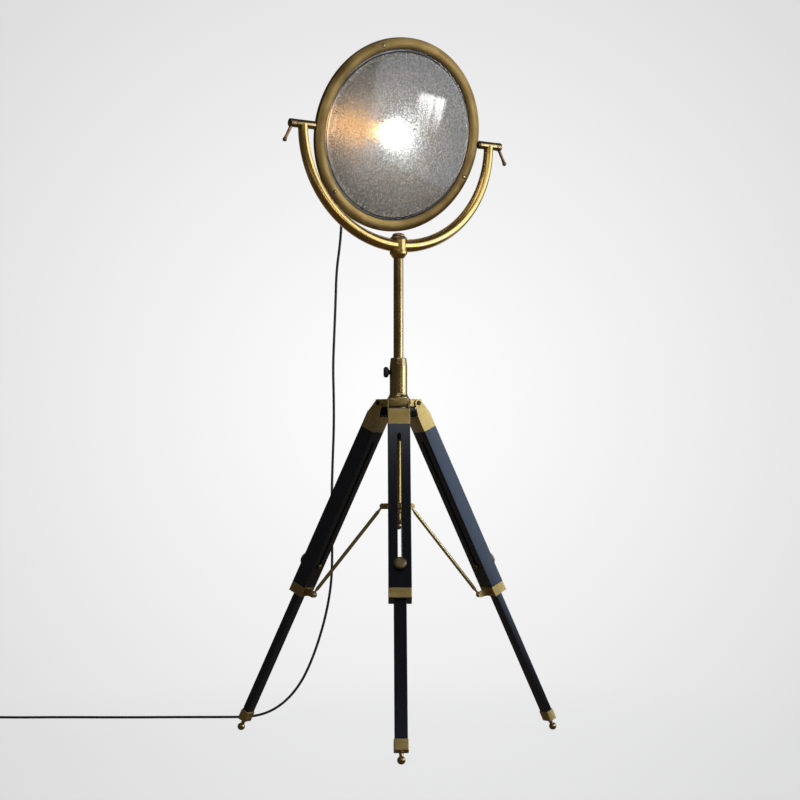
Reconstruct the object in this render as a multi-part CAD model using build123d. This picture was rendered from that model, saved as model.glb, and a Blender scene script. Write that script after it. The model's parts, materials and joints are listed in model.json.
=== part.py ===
from build123d import *
import math
import os

os.makedirs("parts", exist_ok=True)

# Tripod floor lamp in millimetres, +Z up. It is modelled round the post's axis, with the floor at
# Z = 0 and the front leg towards -Y, and then moved so that the origin lies at the middle of its
# base.

# Fits
run_fit = 0.08
slide_fit = 0.3
side_gap = 0.5
thread_fit = 0.05

# Legs, measured down each leg from its hinge pin
leg_azimuths = {"front": -90, "left": 150, "right": 30}
leg_splay = 27.1
hinge_radius = 38
leg_reach = 822
leg_width = 49
leg_depth = 34
leg_edge = 2
bracket_wall = 2.75
bracket_top = 26
bracket_height = 37
wood_seat = 4
ear_radius = 8.7
collar_top = 453
collar_height = 22
collar_lip = 3
slot_width = 8.4
slot_top = 86
knob_station = 400
slot_end_room = 1.2
lower_width = 27
lower_depth = 16
lower_edge = 1.5
lower_head = 14
ferrule_wall = 1.75
ferrule_height = 29
ferrule_floor = 6
foot_neck = 13
ball_radius = 8.5
ball_height = 8
foot_stem_radius = 2.5
hinge_pin_radius = 3
hinge_head_radius = 5
hinge_head = 1.6

# Clamp knobs of the legs
bolt_radius = 3.2
knob_radius = 14
knob_height = 12
knob_flutes = 16
flute_radius = 1.5
nut_radius = 6.5
nut_height = 5

# Hub, sleeve and centre tube
lug_radius = 8.6
hub_radius = 25
hub_rise = 10.745
hub_socket_radius = 18
hub_socket_depth = 14
tube_radius = 13
tube_seat = 12
tube_length = 243.155
sleeve_radius = 19.4
sleeve_mouth_radius = 17
sleeve_foot_radius = 23.6
sleeve_height = 89
sleeve_taper = 18
sleeve_flare = 13
finial_bead_radius = 9
finial_rim = 2
finial_rim_height = 5
finial_neck = 11

# Thumb screw in the sleeve
thumb_rise = 57.5
thumb_shank_radius = 4
thumb_radius = 12
thumb_length = 13.4

# Post and swivel
post_radius = 11
post_wall = 1.8
post_seat = 50.5
post_rise = 309.5
stud_radius = 5
stud_plug = 22

# Spreader and braces, in the upright plane of each leg
spreader_radius = 20
spreader_rest = 10
spreader_height = 24
tab_rise = 16
pivot_radius_in = 35.7
brace_drop = 8
pivot_inset = 35.8
tab_thickness = 6
tab_offset = 2.5
tab_radius = 6.5
brace_radius = 3.25
eye_thickness = 5
stud_pin_radius = 2.5
stud_head_radius = 4.5
stud_head = 2
open_slot_length = 11
open_slot_play = 0.6

# Yoke
pan_angle = 32.6
yoke_gap = 32
yoke_mid_radius = 14
yoke_tip_radius = 10
yoke_wall = 2
barrel_radius = 9.4
barrel_beyond = 19
saddle_radius = 19.4
saddle_height = 7
cup_height = 17
cup_seat = 14.7
cup_foot_radius = 12
swivel_radius = 17.5
finial_radius = 13.8
finial_height = 8
nut_gap = 0.3

# Tilt levers
lever_nut = 14
lever_lean = 27
lever_radius = 2.2
lever_length = 42
lever_ball_radius = 4.5

# Head, measured forwards from the pivot axis along the head's own axis
tilt_angle = -14
ring_radius = 215
ring_face = 25
ring_front = 5
ring_depth = 11
ring_wall = 3
ring_bevel = 2
boss_depth = 13
boss_width = 18
boss_hole_depth = 10
pivot_pin_radius = 4
spacer_radius = 8
spacer_length = 4.2
gasket_height = 1.5
lens_lap = 4.5
lens_thickness = 5
lens_room = 3
lens_crown = 12
lens_shoulder = 12
lens_sag = 20
reflector_wall = 1.2
reflector_lap = 4
reflector_rim = 2
reflector_rise = 8
bowl_wall = 1.2
bowl_inset = 10
bowl_flange = 2
bowl_depth = 134
screw_inset = 12
screw_angles = (110.5, 223, 338)
screw_head_radius = 3.6
screw_head = 2.2
screw_radius = 1.8
holder_radius = 20
holder_bore = 13.6
holder_length = 45
holder_floor = 5
bracket_plate_radius = 30
bracket_plate = 3
cap_radius = 13.3
bulb_radius = 32
bulb_rise = 72
bulb_wall = 1
gland_nut_radius = 13
gland_nut = 8
gland_taper = 35
gland_tip_radius = 5
gland_shank_radius = 7
lead_radius = 2.9
lead_bore = 3.1

# Cord and plug
cord_radius = 3
first_run = 22
lay_room = 0.2
coil_gap = 0.7
coil_start = 36.5
coil_turn_in = 24
coil_turn_out = 30
tie_width = 6
tie_thickness = 0.8
plug_lead = 36
plug_length = 48
plug_width = 26
plug_pin_radius = 2
plug_pin_length = 19
plug_pin_spacing = 18

pieces = {}
up = Vector(0, 0, 1)
splay_sin = math.sin(math.radians(leg_splay))
splay_cos = math.cos(math.radians(leg_splay))

# Places that follow from the sizes: stations down a leg, heights above the floor, reaches from the pivot axis
bracket_bottom = bracket_top + bracket_height
wood_top = bracket_top - wood_seat
collar_bottom = collar_top + collar_height
lower_top = knob_station - lower_head
ferrule_bottom = leg_reach - foot_neck
ferrule_top = ferrule_bottom - ferrule_height
lower_bottom = ferrule_bottom - ferrule_floor
pivot_station = collar_top + brace_drop
hinge_z = ball_height + leg_reach * splay_cos
hub_top = hinge_z + hub_rise
tube_top = hinge_z - lug_radius - hub_socket_depth + tube_seat
tube_bottom = tube_top - tube_length
spreader_bottom = tube_bottom + spreader_rest
spreader_top = spreader_bottom + spreader_height
pivot_height_in = spreader_bottom + tab_rise
thumb_height = hub_top + thumb_rise
post_bottom = hub_top - post_seat
post_top = hub_top + post_rise
yoke_radius = ring_radius + yoke_gap
pivot_z = post_top + slide_fit + cup_seat + yoke_mid_radius + yoke_radius
barrel_inner = ring_radius + spacer_length + slide_fit
barrel_outer = yoke_radius + barrel_beyond
lever_station = barrel_outer + lever_nut / 2
lever_end = barrel_outer + lever_nut


def turned(profile, height=0):
    """A solid of revolution about Z from (radius, height) points."""
    points = [(radius, height + z) for radius, z in profile]
    return revolve(Plane.XZ * make_face(Polyline(*points, close=True)), Axis.Z)


def rod(radius, start, end):
    """A straight round bar between two points."""
    start, end = Vector(start), Vector(end)
    length = (end - start).length
    place = Plane(origin=start, z_dir=end - start)
    return place * Cylinder(radius, length, align=(Align.CENTER, Align.CENTER, Align.MIN))


def ring(outer, inner, bottom, top):
    """A plain round tube about Z."""
    return disc(outer, bottom, top) - disc(inner, bottom, top)


def disc(radius, bottom, top):
    """A round slab about Z."""
    return Pos(0, 0, bottom) * Cylinder(radius, top - bottom, align=(Align.CENTER, Align.CENTER, Align.MIN))


def bar(width, depth, top, bottom, edge):
    """A leg's rectangular section between two stations down the leg."""
    return Pos(0, 0, -bottom) * extrude(RectangleRounded(width, depth, edge), bottom - top)


def leg_plane(azimuth):
    """A leg's own frame: Z up the leg, Y out of its outer face, origin on its hinge pin."""
    out = Vector(math.cos(math.radians(azimuth)), math.sin(math.radians(azimuth)), 0)
    along = out * -splay_sin + up * splay_cos
    return Plane(origin=out * hinge_radius + up * hinge_z, x_dir=out.cross(up), z_dir=along)


def stud(start):
    """A shouldered stud along X that carries a brace's eye, with its head beyond the eye."""
    eye_end = tab_gap_end()
    shank = Cylinder(stud_pin_radius, eye_end + stud_head / 2 - start)
    head = Cylinder(stud_head_radius, stud_head)
    shank = Pos((eye_end + stud_head / 2 + start) / 2, 0, 0) * Rot(0, 90, 0) * shank
    return shank + Pos(eye_end + stud_head / 2, 0, 0) * Rot(0, 90, 0) * head


def tab_gap_end():
    """Where a stud's head starts, across the tab and the eye."""
    return tab_offset + tab_thickness / 2 + slide_fit + eye_thickness + slide_fit


# Legs
inner_width = leg_width - 2 * bracket_wall
inner_depth = leg_depth - 2 * bracket_wall
slot_bottom = knob_station + bolt_radius + slot_end_room


def leg_upper():
    body = bar(leg_width, leg_depth, bracket_bottom, collar_top, leg_edge)
    body += bar(inner_width, inner_depth, wood_top, bracket_bottom, leg_edge)
    body += bar(inner_width, inner_depth, collar_top, collar_bottom - collar_lip, leg_edge)
    channel_width = lower_width + 2 * slide_fit
    channel_depth = lower_depth + 2 * slide_fit
    channel_top = slot_top - (slot_width - 2 * bolt_radius) / 2
    body -= bar(channel_width, channel_depth, channel_top, collar_bottom, lower_edge)
    slot = SlotOverall(slot_bottom - slot_top, slot_width, rotation=90)
    slot = Plane.XZ * Pos(0, -(slot_top + slot_bottom) / 2) * slot
    return body - extrude(slot, leg_depth, both=True)


def leg_bracket():
    sleeve = bar(leg_width, leg_depth, bracket_top, bracket_bottom, leg_edge)
    half = leg_depth / 2 - leg_edge
    cheek = Polygon((-ear_radius, 0), (ear_radius, 0), (half, -bracket_top), (half, -bracket_bottom),
                    (-half, -bracket_bottom), (-half, -bracket_top), align=None)
    cheek = extrude(Plane.YZ * (cheek + Circle(ear_radius)), leg_width / 2, both=True)
    cap = sleeve + cheek
    cap -= Box(inner_width, 4 * leg_depth, 2 * bracket_top)
    cap -= bar(inner_width, inner_depth, 0, bracket_bottom, leg_edge)
    return cap - Rot(0, 90, 0) * Cylinder(hinge_pin_radius + run_fit, 2 * leg_width)


def leg_collar():
    cap = bar(leg_width, leg_depth, collar_top, collar_bottom, leg_edge)
    tab_mid = -(collar_top + collar_bottom) / 2
    root = (collar_bottom - collar_top) / 2 - leg_edge
    inner_face = leg_edge - leg_depth / 2
    tab = Polygon((inner_face, tab_mid + root), (inner_face, tab_mid - root),
                  (-pivot_inset, -pivot_station - tab_radius), (-pivot_inset, -pivot_station + tab_radius),
                  align=None)
    tab += Pos(-pivot_inset, -pivot_station) * Circle(tab_radius)
    cap += Pos(-tab_offset, 0, 0) * extrude(Plane.YZ * tab, tab_thickness / 2, both=True)
    cap += Pos(0, -pivot_inset, -pivot_station) * Rot(0, 0, 180) * stud(tab_offset)
    cap -= bar(inner_width, inner_depth, 0, collar_bottom - collar_lip, leg_edge)
    return cap - bar(lower_width + 2 * slide_fit, lower_depth + 2 * slide_fit, 0, collar_bottom, lower_edge)


def leg_lower():
    body = bar(lower_width, lower_depth, lower_top, lower_bottom, lower_edge)
    bolt_hole = Rot(90, 0, 0) * Cylinder(bolt_radius + thread_fit, leg_depth)
    stem_room = disc(foot_stem_radius + thread_fit, -lower_bottom, -lower_bottom + 4 * foot_stem_radius)
    return body - Pos(0, 0, -knob_station) * bolt_hole - stem_room


def leg_ferrule():
    width = lower_width + 2 * ferrule_wall
    depth = lower_depth + 2 * ferrule_wall
    cap = bar(width, depth, ferrule_top, ferrule_bottom, leg_edge)
    cap = chamfer(cap.faces().sort_by(Axis.Z)[0].edges(), ferrule_wall / 2)
    cap -= bar(lower_width, lower_depth, 0, lower_bottom, lower_edge)
    return cap - disc(foot_stem_radius, -ferrule_bottom, -ferrule_top)


def foot():
    stem_top = -lower_bottom + 3 * foot_stem_radius
    body = Pos(0, 0, -leg_reach) * Sphere(ball_radius) + disc(foot_stem_radius, -leg_reach, stem_top)
    return body + disc(2 * foot_stem_radius, -ferrule_bottom - foot_stem_radius, -ferrule_bottom)


def knob():
    rim = knob_radius - flute_radius
    profile = [(0, 0), (0.7 * knob_radius, 0), (0.7 * knob_radius, knob_height / 5), (rim, knob_height / 3),
               (knob_radius, knob_height / 2), (knob_radius, 0.75 * knob_height), (rim, 0.93 * knob_height),
               (0.5 * knob_radius, knob_height), (0, knob_height)]
    head = turned(profile)
    cutter = Cylinder(flute_radius, 4 * knob_height)
    head -= PolarLocations(knob_radius + flute_radius / 2, knob_flutes) * cutter
    seat = leg_depth / 2 + slide_fit
    shank = disc(bolt_radius, -2 * seat - nut_height / 2, 0)
    nut = turned([(bolt_radius + thread_fit, 0), (nut_radius, 0), (nut_radius, -nut_height / 2),
                  (0.7 * nut_radius, -nut_height), (0, -nut_height), (0, -nut_height / 2 - thread_fit),
                  (bolt_radius + thread_fit, -nut_height / 2 - thread_fit)], -2 * seat)
    place = Pos(0, seat, -knob_station) * Rot(-90, 0, 0)
    return Compound(children=[place * (head + shank), place * nut])


ground_cut = Pos(0, 0, -leg_width) * Box(4 * leg_reach, 4 * leg_reach, 2 * leg_width)
for side, azimuth in leg_azimuths.items():
    place = leg_plane(azimuth)
    pieces["leg_upper_" + side] = place * leg_upper()
    pieces["leg_bracket_" + side] = place * leg_bracket()
    pieces["leg_collar_" + side] = place * leg_collar()
    pieces["leg_lower_" + side] = place * leg_lower()
    pieces["leg_ferrule_" + side] = place * leg_ferrule()
    pieces["foot_" + side] = place * foot() - ground_cut
    pieces["leg_knob_" + side] = place * knob()

# Spreader and braces, drawn in the XZ plane of each leg and turned to its azimuth
pivot_out_radius = hinge_radius + pivot_station * splay_sin - pivot_inset * splay_cos
pivot_out_height = hinge_z - pivot_station * splay_cos - pivot_inset * splay_sin


def brace():
    """One brace rod between its two eyes; the upper eye is a slot that takes up the fold's slack."""
    low = Vector(pivot_out_radius, 0, pivot_out_height)
    high = Vector(pivot_radius_in, 0, pivot_height_in)
    length = (high - low).length
    eye_mid = tab_offset + tab_thickness / 2 + slide_fit + eye_thickness / 2
    low_eye = Rot(0, 90, 0) * Cylinder(tab_radius, eye_thickness)
    tab_start = length - open_slot_length - 2 * tab_radius
    plate = Pos(0, 0, (tab_start + length) / 2) * Box(eye_thickness, 2 * tab_radius, length - tab_start)
    plate += Pos(0, 0, length) * Rot(0, 90, 0) * Cylinder(tab_radius, eye_thickness)
    arm = low_eye + disc(brace_radius, 0, tab_start + tab_radius / 2) + plate
    arm -= Rot(0, 90, 0) * Cylinder(stud_pin_radius + run_fit, 4 * eye_thickness)
    slot_radius = stud_pin_radius + open_slot_play
    slot = SlotCenterToCenter(open_slot_length, 2 * slot_radius, rotation=90)
    slot = Plane.YZ * Pos(0, length - open_slot_length / 2) * slot
    arm -= extrude(slot, 2 * eye_thickness, both=True)
    for way in (1, -1):
        flat = Box(2 * brace_radius, 4 * tab_radius, 4 * tab_radius)
        arm -= Pos(way * (eye_thickness / 2 + brace_radius), 0, 0) * flat
    return Plane(origin=low + Vector(0, eye_mid, 0), x_dir=(0, 1, 0), z_dir=high - low) * arm


def spreader_tab():
    low, high = pivot_height_in - tab_radius, pivot_height_in + tab_radius
    outline = Polygon((tube_radius, low), (pivot_radius_in, low), (pivot_radius_in, high),
                      (tube_radius, high), align=None)
    outline += Pos(pivot_radius_in, pivot_height_in) * Circle(tab_radius)
    plate = Pos(0, tab_offset, 0) * extrude(Plane.XZ * outline, tab_thickness / 2, both=True)
    return plate + Pos(pivot_radius_in, 0, pivot_height_in) * Rot(0, 0, 90) * stud(tab_offset)


groove = 2
groove_mid = (spreader_bottom + spreader_top) / 2 - groove
slider = turned([(tube_radius, spreader_bottom), (spreader_radius - groove, spreader_bottom),
                 (spreader_radius, spreader_bottom + groove), (spreader_radius, groove_mid - groove),
                 (spreader_radius - groove, groove_mid), (spreader_radius, groove_mid + groove),
                 (spreader_radius, spreader_top - groove), (spreader_radius - groove, spreader_top),
                 (tube_radius, spreader_top)])
for azimuth in leg_azimuths.values():
    slider += Rot(0, 0, azimuth) * spreader_tab()
pieces["spreader"] = slider - disc(tube_radius + run_fit, spreader_bottom, spreader_top)
for side, azimuth in leg_azimuths.items():
    pieces["brace_" + side] = Rot(0, 0, azimuth) * brace()

# Hub, sleeve and centre tube
lug_width = inner_width - 2 * side_gap
bore = post_radius + run_fit
hub = disc(hub_radius, hinge_z - lug_radius, hub_top)
hub += disc(hub_socket_radius, hinge_z - lug_radius - hub_socket_depth, hub_top)
for azimuth in leg_azimuths.values():
    lug = Pos(hinge_radius / 2, 0, hinge_z) * Box(hinge_radius, lug_width, 2 * lug_radius)
    lug += Pos(hinge_radius, 0, hinge_z) * Rot(90, 0, 0) * Cylinder(lug_radius, lug_width)
    lug -= Pos(hinge_radius, 0, hinge_z) * Rot(90, 0, 0) * Cylinder(hinge_pin_radius, 2 * lug_width)
    hub += Rot(0, 0, azimuth) * lug
hub -= disc(tube_radius, 0, tube_top)
hub -= disc(bore, 0, hub_top)
pieces["hub"] = hub

pins = []
for azimuth in leg_azimuths.values():
    pin_half = leg_width / 2 + side_gap / 2
    pin = Cylinder(hinge_pin_radius, 2 * pin_half)
    pin += Pos(0, 0, pin_half + hinge_head / 2) * Cylinder(hinge_head_radius, hinge_head)
    pin += Pos(0, 0, -pin_half - hinge_head / 2) * Cylinder(hinge_head_radius, hinge_head)
    pins.append(Rot(0, 0, azimuth) * Pos(hinge_radius, 0, hinge_z) * Rot(90, 0, 0) * pin)
pieces["hinge_pins"] = Compound(children=pins)

sleeve_top = hub_top + sleeve_height
thumb_hole = rod(thumb_shank_radius + thread_fit, (0, 0, thumb_height), (-2 * sleeve_radius, 0, thumb_height))
sleeve = turned([(bore, hub_top), (sleeve_foot_radius, hub_top), (sleeve_radius, hub_top + sleeve_flare),
                 (sleeve_radius, sleeve_top - sleeve_taper), (sleeve_mouth_radius, sleeve_top),
                 (bore, sleeve_top)])
pieces["sleeve"] = sleeve - thumb_hole

pieces["centre_tube"] = ring(tube_radius, bore, tube_bottom, tube_top)
bead = finial_bead_radius
rim = tube_radius + finial_rim
finial = turned([(0, 0), (rim, 0), (rim, -finial_rim_height), (bead, -finial_rim_height - finial_rim),
                 (bead - finial_rim, -finial_neck), (0, -finial_neck)], tube_bottom)
finial += disc(bore, tube_bottom, tube_bottom + bead)
finial += Pos(0, 0, tube_bottom - finial_neck - 0.7 * bead) * Sphere(0.9 * bead)
pieces["tube_finial"] = finial

thumb_start = post_radius + slide_fit
thumb_head = sleeve_radius + slide_fit
cap_shares = [(0.5, 0), (0.45, 0.1), (0.8, 0.2), (1, 0.42), (1, 0.78), (0.7, 1), (0, 1)]
thumb_cap = [(wide * thumb_radius, thumb_head + long * thumb_length) for wide, long in cap_shares]
thumb_shank = [(0, thumb_start), (thumb_shank_radius, thumb_start), (thumb_shank_radius, thumb_head)]
thumb = turned(thumb_shank + thumb_cap)
pieces["thumb_screw"] = Pos(0, 0, thumb_height) * Rot(0, -90, 0) * thumb

# Post, swivel stud and finial nut
tube_high = pivot_z - yoke_radius + yoke_mid_radius
saddle_top = tube_high + saddle_height
pieces["post_tube"] = ring(post_radius, post_radius - post_wall, post_bottom, post_top)
stud_plug_radius = post_radius - post_wall
pieces["swivel_stud"] = disc(stud_plug_radius, post_top - stud_plug, post_top) + disc(
    stud_radius, post_top, saddle_top + finial_height / 2)
pieces["swivel_finial"] = turned(
    [(stud_radius, saddle_top + nut_gap), (finial_radius, saddle_top + nut_gap),
     (finial_radius, saddle_top + finial_height / 3), (0.8 * finial_radius, saddle_top + 0.7 * finial_height),
     (0.4 * finial_radius, saddle_top + finial_height), (0, saddle_top + finial_height),
     (0, saddle_top + finial_height / 2), (stud_radius, saddle_top + finial_height / 2)])

# Yoke, in the frame of the pivot axis: X along the axis, Z up, origin midway between the pivots
pan = math.radians(pan_angle)
axis_dir = Vector(math.cos(pan), math.sin(pan), 0)
yoke_plane = Plane(origin=(0, 0, pivot_z), x_dir=axis_dir, z_dir=up)
yoke_sections = 9


def yoke_solid(inset):
    """The tapered half circle of tube that hangs below the pivots."""
    sections = []
    for step in range(yoke_sections):
        angle = math.pi + math.pi * step / (yoke_sections - 1)
        share = abs(step / (yoke_sections - 1) - 0.5) * 2
        radius = yoke_mid_radius + (yoke_tip_radius - yoke_mid_radius) * share - inset
        centre = Vector(yoke_radius * math.cos(angle), 0, yoke_radius * math.sin(angle))
        heading = Vector(-math.sin(angle), 0, math.cos(angle))
        sections.append(Plane(origin=centre, x_dir=(0, 1, 0), z_dir=heading) * Circle(radius))
    return loft(sections)


yoke_outer = yoke_solid(0)
barrel_cut = Rot(0, 90, 0) * Cylinder(barrel_radius, 4 * yoke_radius)
stud_cut = Pos(0, 0, -yoke_radius) * Cylinder(stud_radius + run_fit, 8 * yoke_mid_radius)
above = Pos(0, 0, yoke_radius) * Box(4 * yoke_radius, 4 * yoke_radius, 2 * yoke_radius)
pieces["yoke_tube"] = yoke_plane * (yoke_outer - yoke_solid(yoke_wall) - barrel_cut - stud_cut - above)
barrel = ring(barrel_radius, pivot_pin_radius + run_fit, barrel_inner, barrel_outer)
pieces["pivot_barrels"] = yoke_plane * Compound(children=[Rot(0, 90, 0) * barrel, Rot(0, -90, 0) * barrel])
cup_bottom = post_top + slide_fit - pivot_z
cup = turned([(0, 0), (cup_foot_radius, 0), (saddle_radius, 0.6 * cup_height), (saddle_radius, cup_height),
              (0, cup_height)], cup_bottom)
saddle_low = saddle_top - pivot_z - saddle_height
cup += disc(swivel_radius, cup_bottom + cup_height, saddle_low)
pieces["swivel_cup"] = yoke_plane * (cup - yoke_outer - stud_cut)
saddle = disc(saddle_radius, saddle_low, saddle_top - pivot_z) - yoke_outer - stud_cut
pieces["saddle_washer"] = yoke_plane * saddle.solids().sort_by(Axis.Z)[-1]


def lever():
    """A cap nut on the right pivot with its handle."""
    nut = disc(barrel_radius, barrel_outer + slide_fit, lever_end)
    lean = math.radians(lever_lean)
    tip = Vector(lever_station + lever_length * math.sin(lean), 0, -lever_length * math.cos(lean))
    handle = rod(lever_radius, (lever_station, 0, 0), tip) + Pos(tip) * Sphere(lever_ball_radius)
    pin_end = lever_end - barrel_radius / 2
    pin_room = Rot(0, 90, 0) * disc(pivot_pin_radius + run_fit, barrel_outer, pin_end)
    return Rot(0, 90, 0) * nut + handle - pin_room


pieces["tilt_lever_right"] = yoke_plane * lever()
pieces["tilt_lever_left"] = yoke_plane * mirror(lever(), Plane.YZ)

# Head, in its own frame: X along the pivot axis, Y up the lens, Z out through the lens
tilt = math.radians(tilt_angle)
facing = Vector(math.sin(pan) * math.cos(tilt), -math.cos(pan) * math.cos(tilt), math.sin(tilt))
head_plane = Plane(origin=(0, 0, pivot_z), x_dir=axis_dir, z_dir=facing)
ring_opening = ring_radius - ring_face
ring_back = ring_front - ring_depth
plate_back = ring_front - ring_wall
gasket_back = plate_back - gasket_height
lens_back = gasket_back - lens_thickness
dish_back = lens_back - reflector_wall
flange_back = ring_back - bowl_flange
bowl_back = flange_back - bowl_depth
lens_radius = ring_opening + lens_lap

bezel = turned([(ring_opening, plate_back), (ring_opening, ring_front - ring_bevel / 2),
                (ring_opening + ring_bevel / 2, ring_front), (ring_radius - ring_bevel, ring_front),
                (ring_radius, ring_front - ring_bevel), (ring_radius, ring_back),
                (ring_radius - ring_wall, ring_back), (ring_radius - ring_wall, plate_back)])
pin_start = ring_radius - ring_wall - boss_hole_depth
boss_in = ring_radius - ring_wall - boss_depth
boss = Box(boss_depth + ring_wall / 2, boss_width, plate_back - ring_back)
for way in (1, -1):
    boss_mid = way * (boss_in + (boss_depth + ring_wall / 2) / 2)
    bezel += Pos(boss_mid, 0, (plate_back + ring_back) / 2) * boss
    bezel -= rod(pivot_pin_radius, (way * pin_start, 0, 0), (way * 2 * ring_radius, 0, 0))
screw_spots = [Rot(0, 0, angle) * Pos(ring_radius - screw_inset, 0, 0) for angle in screw_angles]
for spot in screw_spots:
    bezel -= spot * disc(screw_radius, ring_back, ring_front)
pieces["bezel_ring"] = head_plane * bezel

pieces["lens_gasket"] = head_plane * ring(lens_radius, ring_opening + side_gap, gasket_back, plate_back)
lens_body = ring_opening - lens_room
lens_sphere = (lens_body ** 2 + lens_crown ** 2) / (2 * lens_crown)


def crown(inset):
    """The lens's filled shape, a flat dome with a round shoulder, drawn in by the glass's thickness."""
    dome = Pos(0, 0, gasket_back + lens_sag - lens_sphere) * Sphere(lens_sphere - inset)
    dome &= disc(lens_body - inset, lens_back - inset, gasket_back + 2 * lens_sag)
    rim = dome.edges().filter_by(lambda edge: edge.is_closed).sort_by(Axis.Z)[-1]
    return fillet(rim, lens_shoulder - inset)


lens = crown(0) & disc(lens_radius, lens_back, gasket_back + 2 * lens_sag)
lens += ring(lens_radius, lens_body - lens_thickness, lens_back, gasket_back)
lens -= crown(lens_thickness)
pieces["lens_glass"] = head_plane * lens

screws = disc(screw_radius, flange_back, ring_front) + turned(
    [(0, 0), (screw_head_radius, 0), (screw_head_radius, screw_head / 2), (screw_head_radius / 2, screw_head),
     (0, screw_head)], ring_front)
pieces["bezel_screws"] = head_plane * Compound(children=[spot * screws for spot in screw_spots])

bowl_radius = ring_radius - bowl_inset
bowl_sphere = (bowl_radius ** 2 + bowl_depth ** 2) / (2 * bowl_depth)


def dish(inset):
    """The bowl's filled shape, drawn in by the wall's thickness."""
    ball = Pos(0, 0, bowl_back + bowl_sphere) * Sphere(bowl_sphere - inset)
    return ball & disc(ring_radius, 2 * bowl_back, flange_back)


rim_radius = ring_opening + reflector_lap
flange_radius = ring_radius - ring_wall
bowl = dish(0) + disc(flange_radius, flange_back, ring_back) + disc(rim_radius, flange_back, dish_back)
bowl -= dish(bowl_wall) + disc(ring_opening, flange_back - bowl_flange / 2, dish_back)
bowl -= disc(gland_shank_radius, 2 * bowl_back, 0)
for spot in screw_spots:
    bowl -= spot * disc(screw_radius, flange_back, ring_back)
pieces["head_bowl"] = head_plane * bowl

dish_rim = ring_opening - reflector_rim
dish_base = holder_radius + reflector_rim
dish_floor = bowl_back + holder_length + reflector_rise
mirror_mid = (0.8 * dish_rim, dish_back + 0.36 * (dish_floor - dish_back))
mirror_arc = ThreePointArc((dish_rim, dish_back), mirror_mid, (dish_base, dish_floor))
mirror_back = ThreePointArc((dish_base, dish_floor - reflector_wall),
                            (mirror_mid[0] + reflector_wall, mirror_mid[1] - reflector_wall / 2),
                            (dish_rim + reflector_wall, dish_back))
mirror_face = make_face([mirror_arc, Line((dish_base, dish_floor), (dish_base, dish_floor - reflector_wall)),
                         mirror_back, Line((dish_rim + reflector_wall, dish_back), (dish_rim, dish_back))])
reflector = revolve(Plane.XZ * mirror_face, Axis.Z) + ring(rim_radius, dish_rim, dish_back, lens_back)
pieces["reflector"] = head_plane * reflector

bowl_hollow = bowl_sphere - bowl_wall
plate_low = bowl_back + bowl_sphere + slide_fit - math.sqrt(bowl_hollow ** 2 - bracket_plate_radius ** 2)
plate_high = plate_low + bracket_plate
holder_top = plate_high + holder_length
pieces["holder_bracket"] = head_plane * ring(bracket_plate_radius, gland_shank_radius, plate_low, plate_high)
cap_low = plate_high + holder_floor
cap_high = holder_top
bulb_centre = holder_top + bulb_rise
holder = disc(holder_radius, plate_high, holder_top) - disc(holder_bore, cap_low, cap_high)
pieces["lamp_holder"] = head_plane * (holder - disc(lead_bore, plate_high, cap_low))
pieces["bulb_cap"] = head_plane * disc(cap_radius, cap_low, cap_high)


def envelope(inset):
    neck = cap_radius - inset
    ball = Pos(0, 0, bulb_centre) * Sphere(bulb_radius - inset)
    shoulder = bulb_centre - bulb_radius / 2
    throat = turned([(0, cap_high), (neck, cap_high), (1.25 * neck, (cap_high + bulb_centre) / 2),
                     (0.85 * (bulb_radius - inset), shoulder), (0, shoulder)])
    return ball + throat


pieces["bulb_glass"] = head_plane * (envelope(0) - envelope(bulb_wall))
gland_base = bowl_back - gland_nut
gland_end = gland_base - gland_taper
gland = turned([(lead_bore, gland_end), (gland_tip_radius, gland_end), (0.75 * gland_nut_radius, gland_base),
                (gland_nut_radius, gland_base), (gland_nut_radius, bowl_back),
                (gland_shank_radius, bowl_back), (gland_shank_radius, plate_low), (lead_bore, plate_low)])
pieces["cable_gland"] = head_plane * gland
pieces["inner_lead"] = head_plane * disc(lead_radius, gland_end, cap_low)

pin_end = lever_end - barrel_radius / 2 - side_gap
pivot_pin = disc(pivot_pin_radius, pin_start, pin_end)
pivot_pin += disc(spacer_radius, ring_radius, barrel_inner - slide_fit)
pieces["pivot_pins"] = head_plane * Compound(children=[Rot(0, 90, 0) * pivot_pin, Rot(0, -90, 0) * pivot_pin])

# Cord: a hanging stretch from the gland to the floor, a floor stretch, a coil and a plug
gland_mouth = head_plane.origin + facing * gland_end
floor_z = cord_radius + lay_room
coil_z = cord_radius + tie_thickness + lay_room
hanging_route = [
    tuple(gland_mouth), tuple(gland_mouth - facing * first_run), (-119.9, 187.5, 1378.6),
    (-128.5, 201, 1359.4), (-132.9, 207.9, 1324.4), (-132, 212, 1270), (-128, 215, 1196), (-132, 219, 1124),
    (-141, 224, 1060), (-143, 228, 985), (-146, 233, 910), (-149, 240, 835), (-147, 248, 760),
    (-147, 256, 690), (-150, 265, 615), (-152, 275, 545), (-152, 286, 470), (-151, 300, 400),
    (-153, 318, 335), (-163, 333, 270), (-180, 352, 205), (-202, 374, 142), (-228, 396, 88), (-263, 417, 45),
    (-303, 437, 17), (-347, 450, floor_z + 1), (-408, 456, floor_z), (-470, 456, floor_z)]
floor_route = [
    (-470, 456, floor_z), (-540, 456, floor_z), (-612, 453, floor_z), (-686, 453, floor_z),
    (-760, 457, floor_z), (-834, 458, floor_z), (-904, 454, floor_z), (-955, 452, coil_z),
    (-1006, 452, coil_z)]


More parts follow.
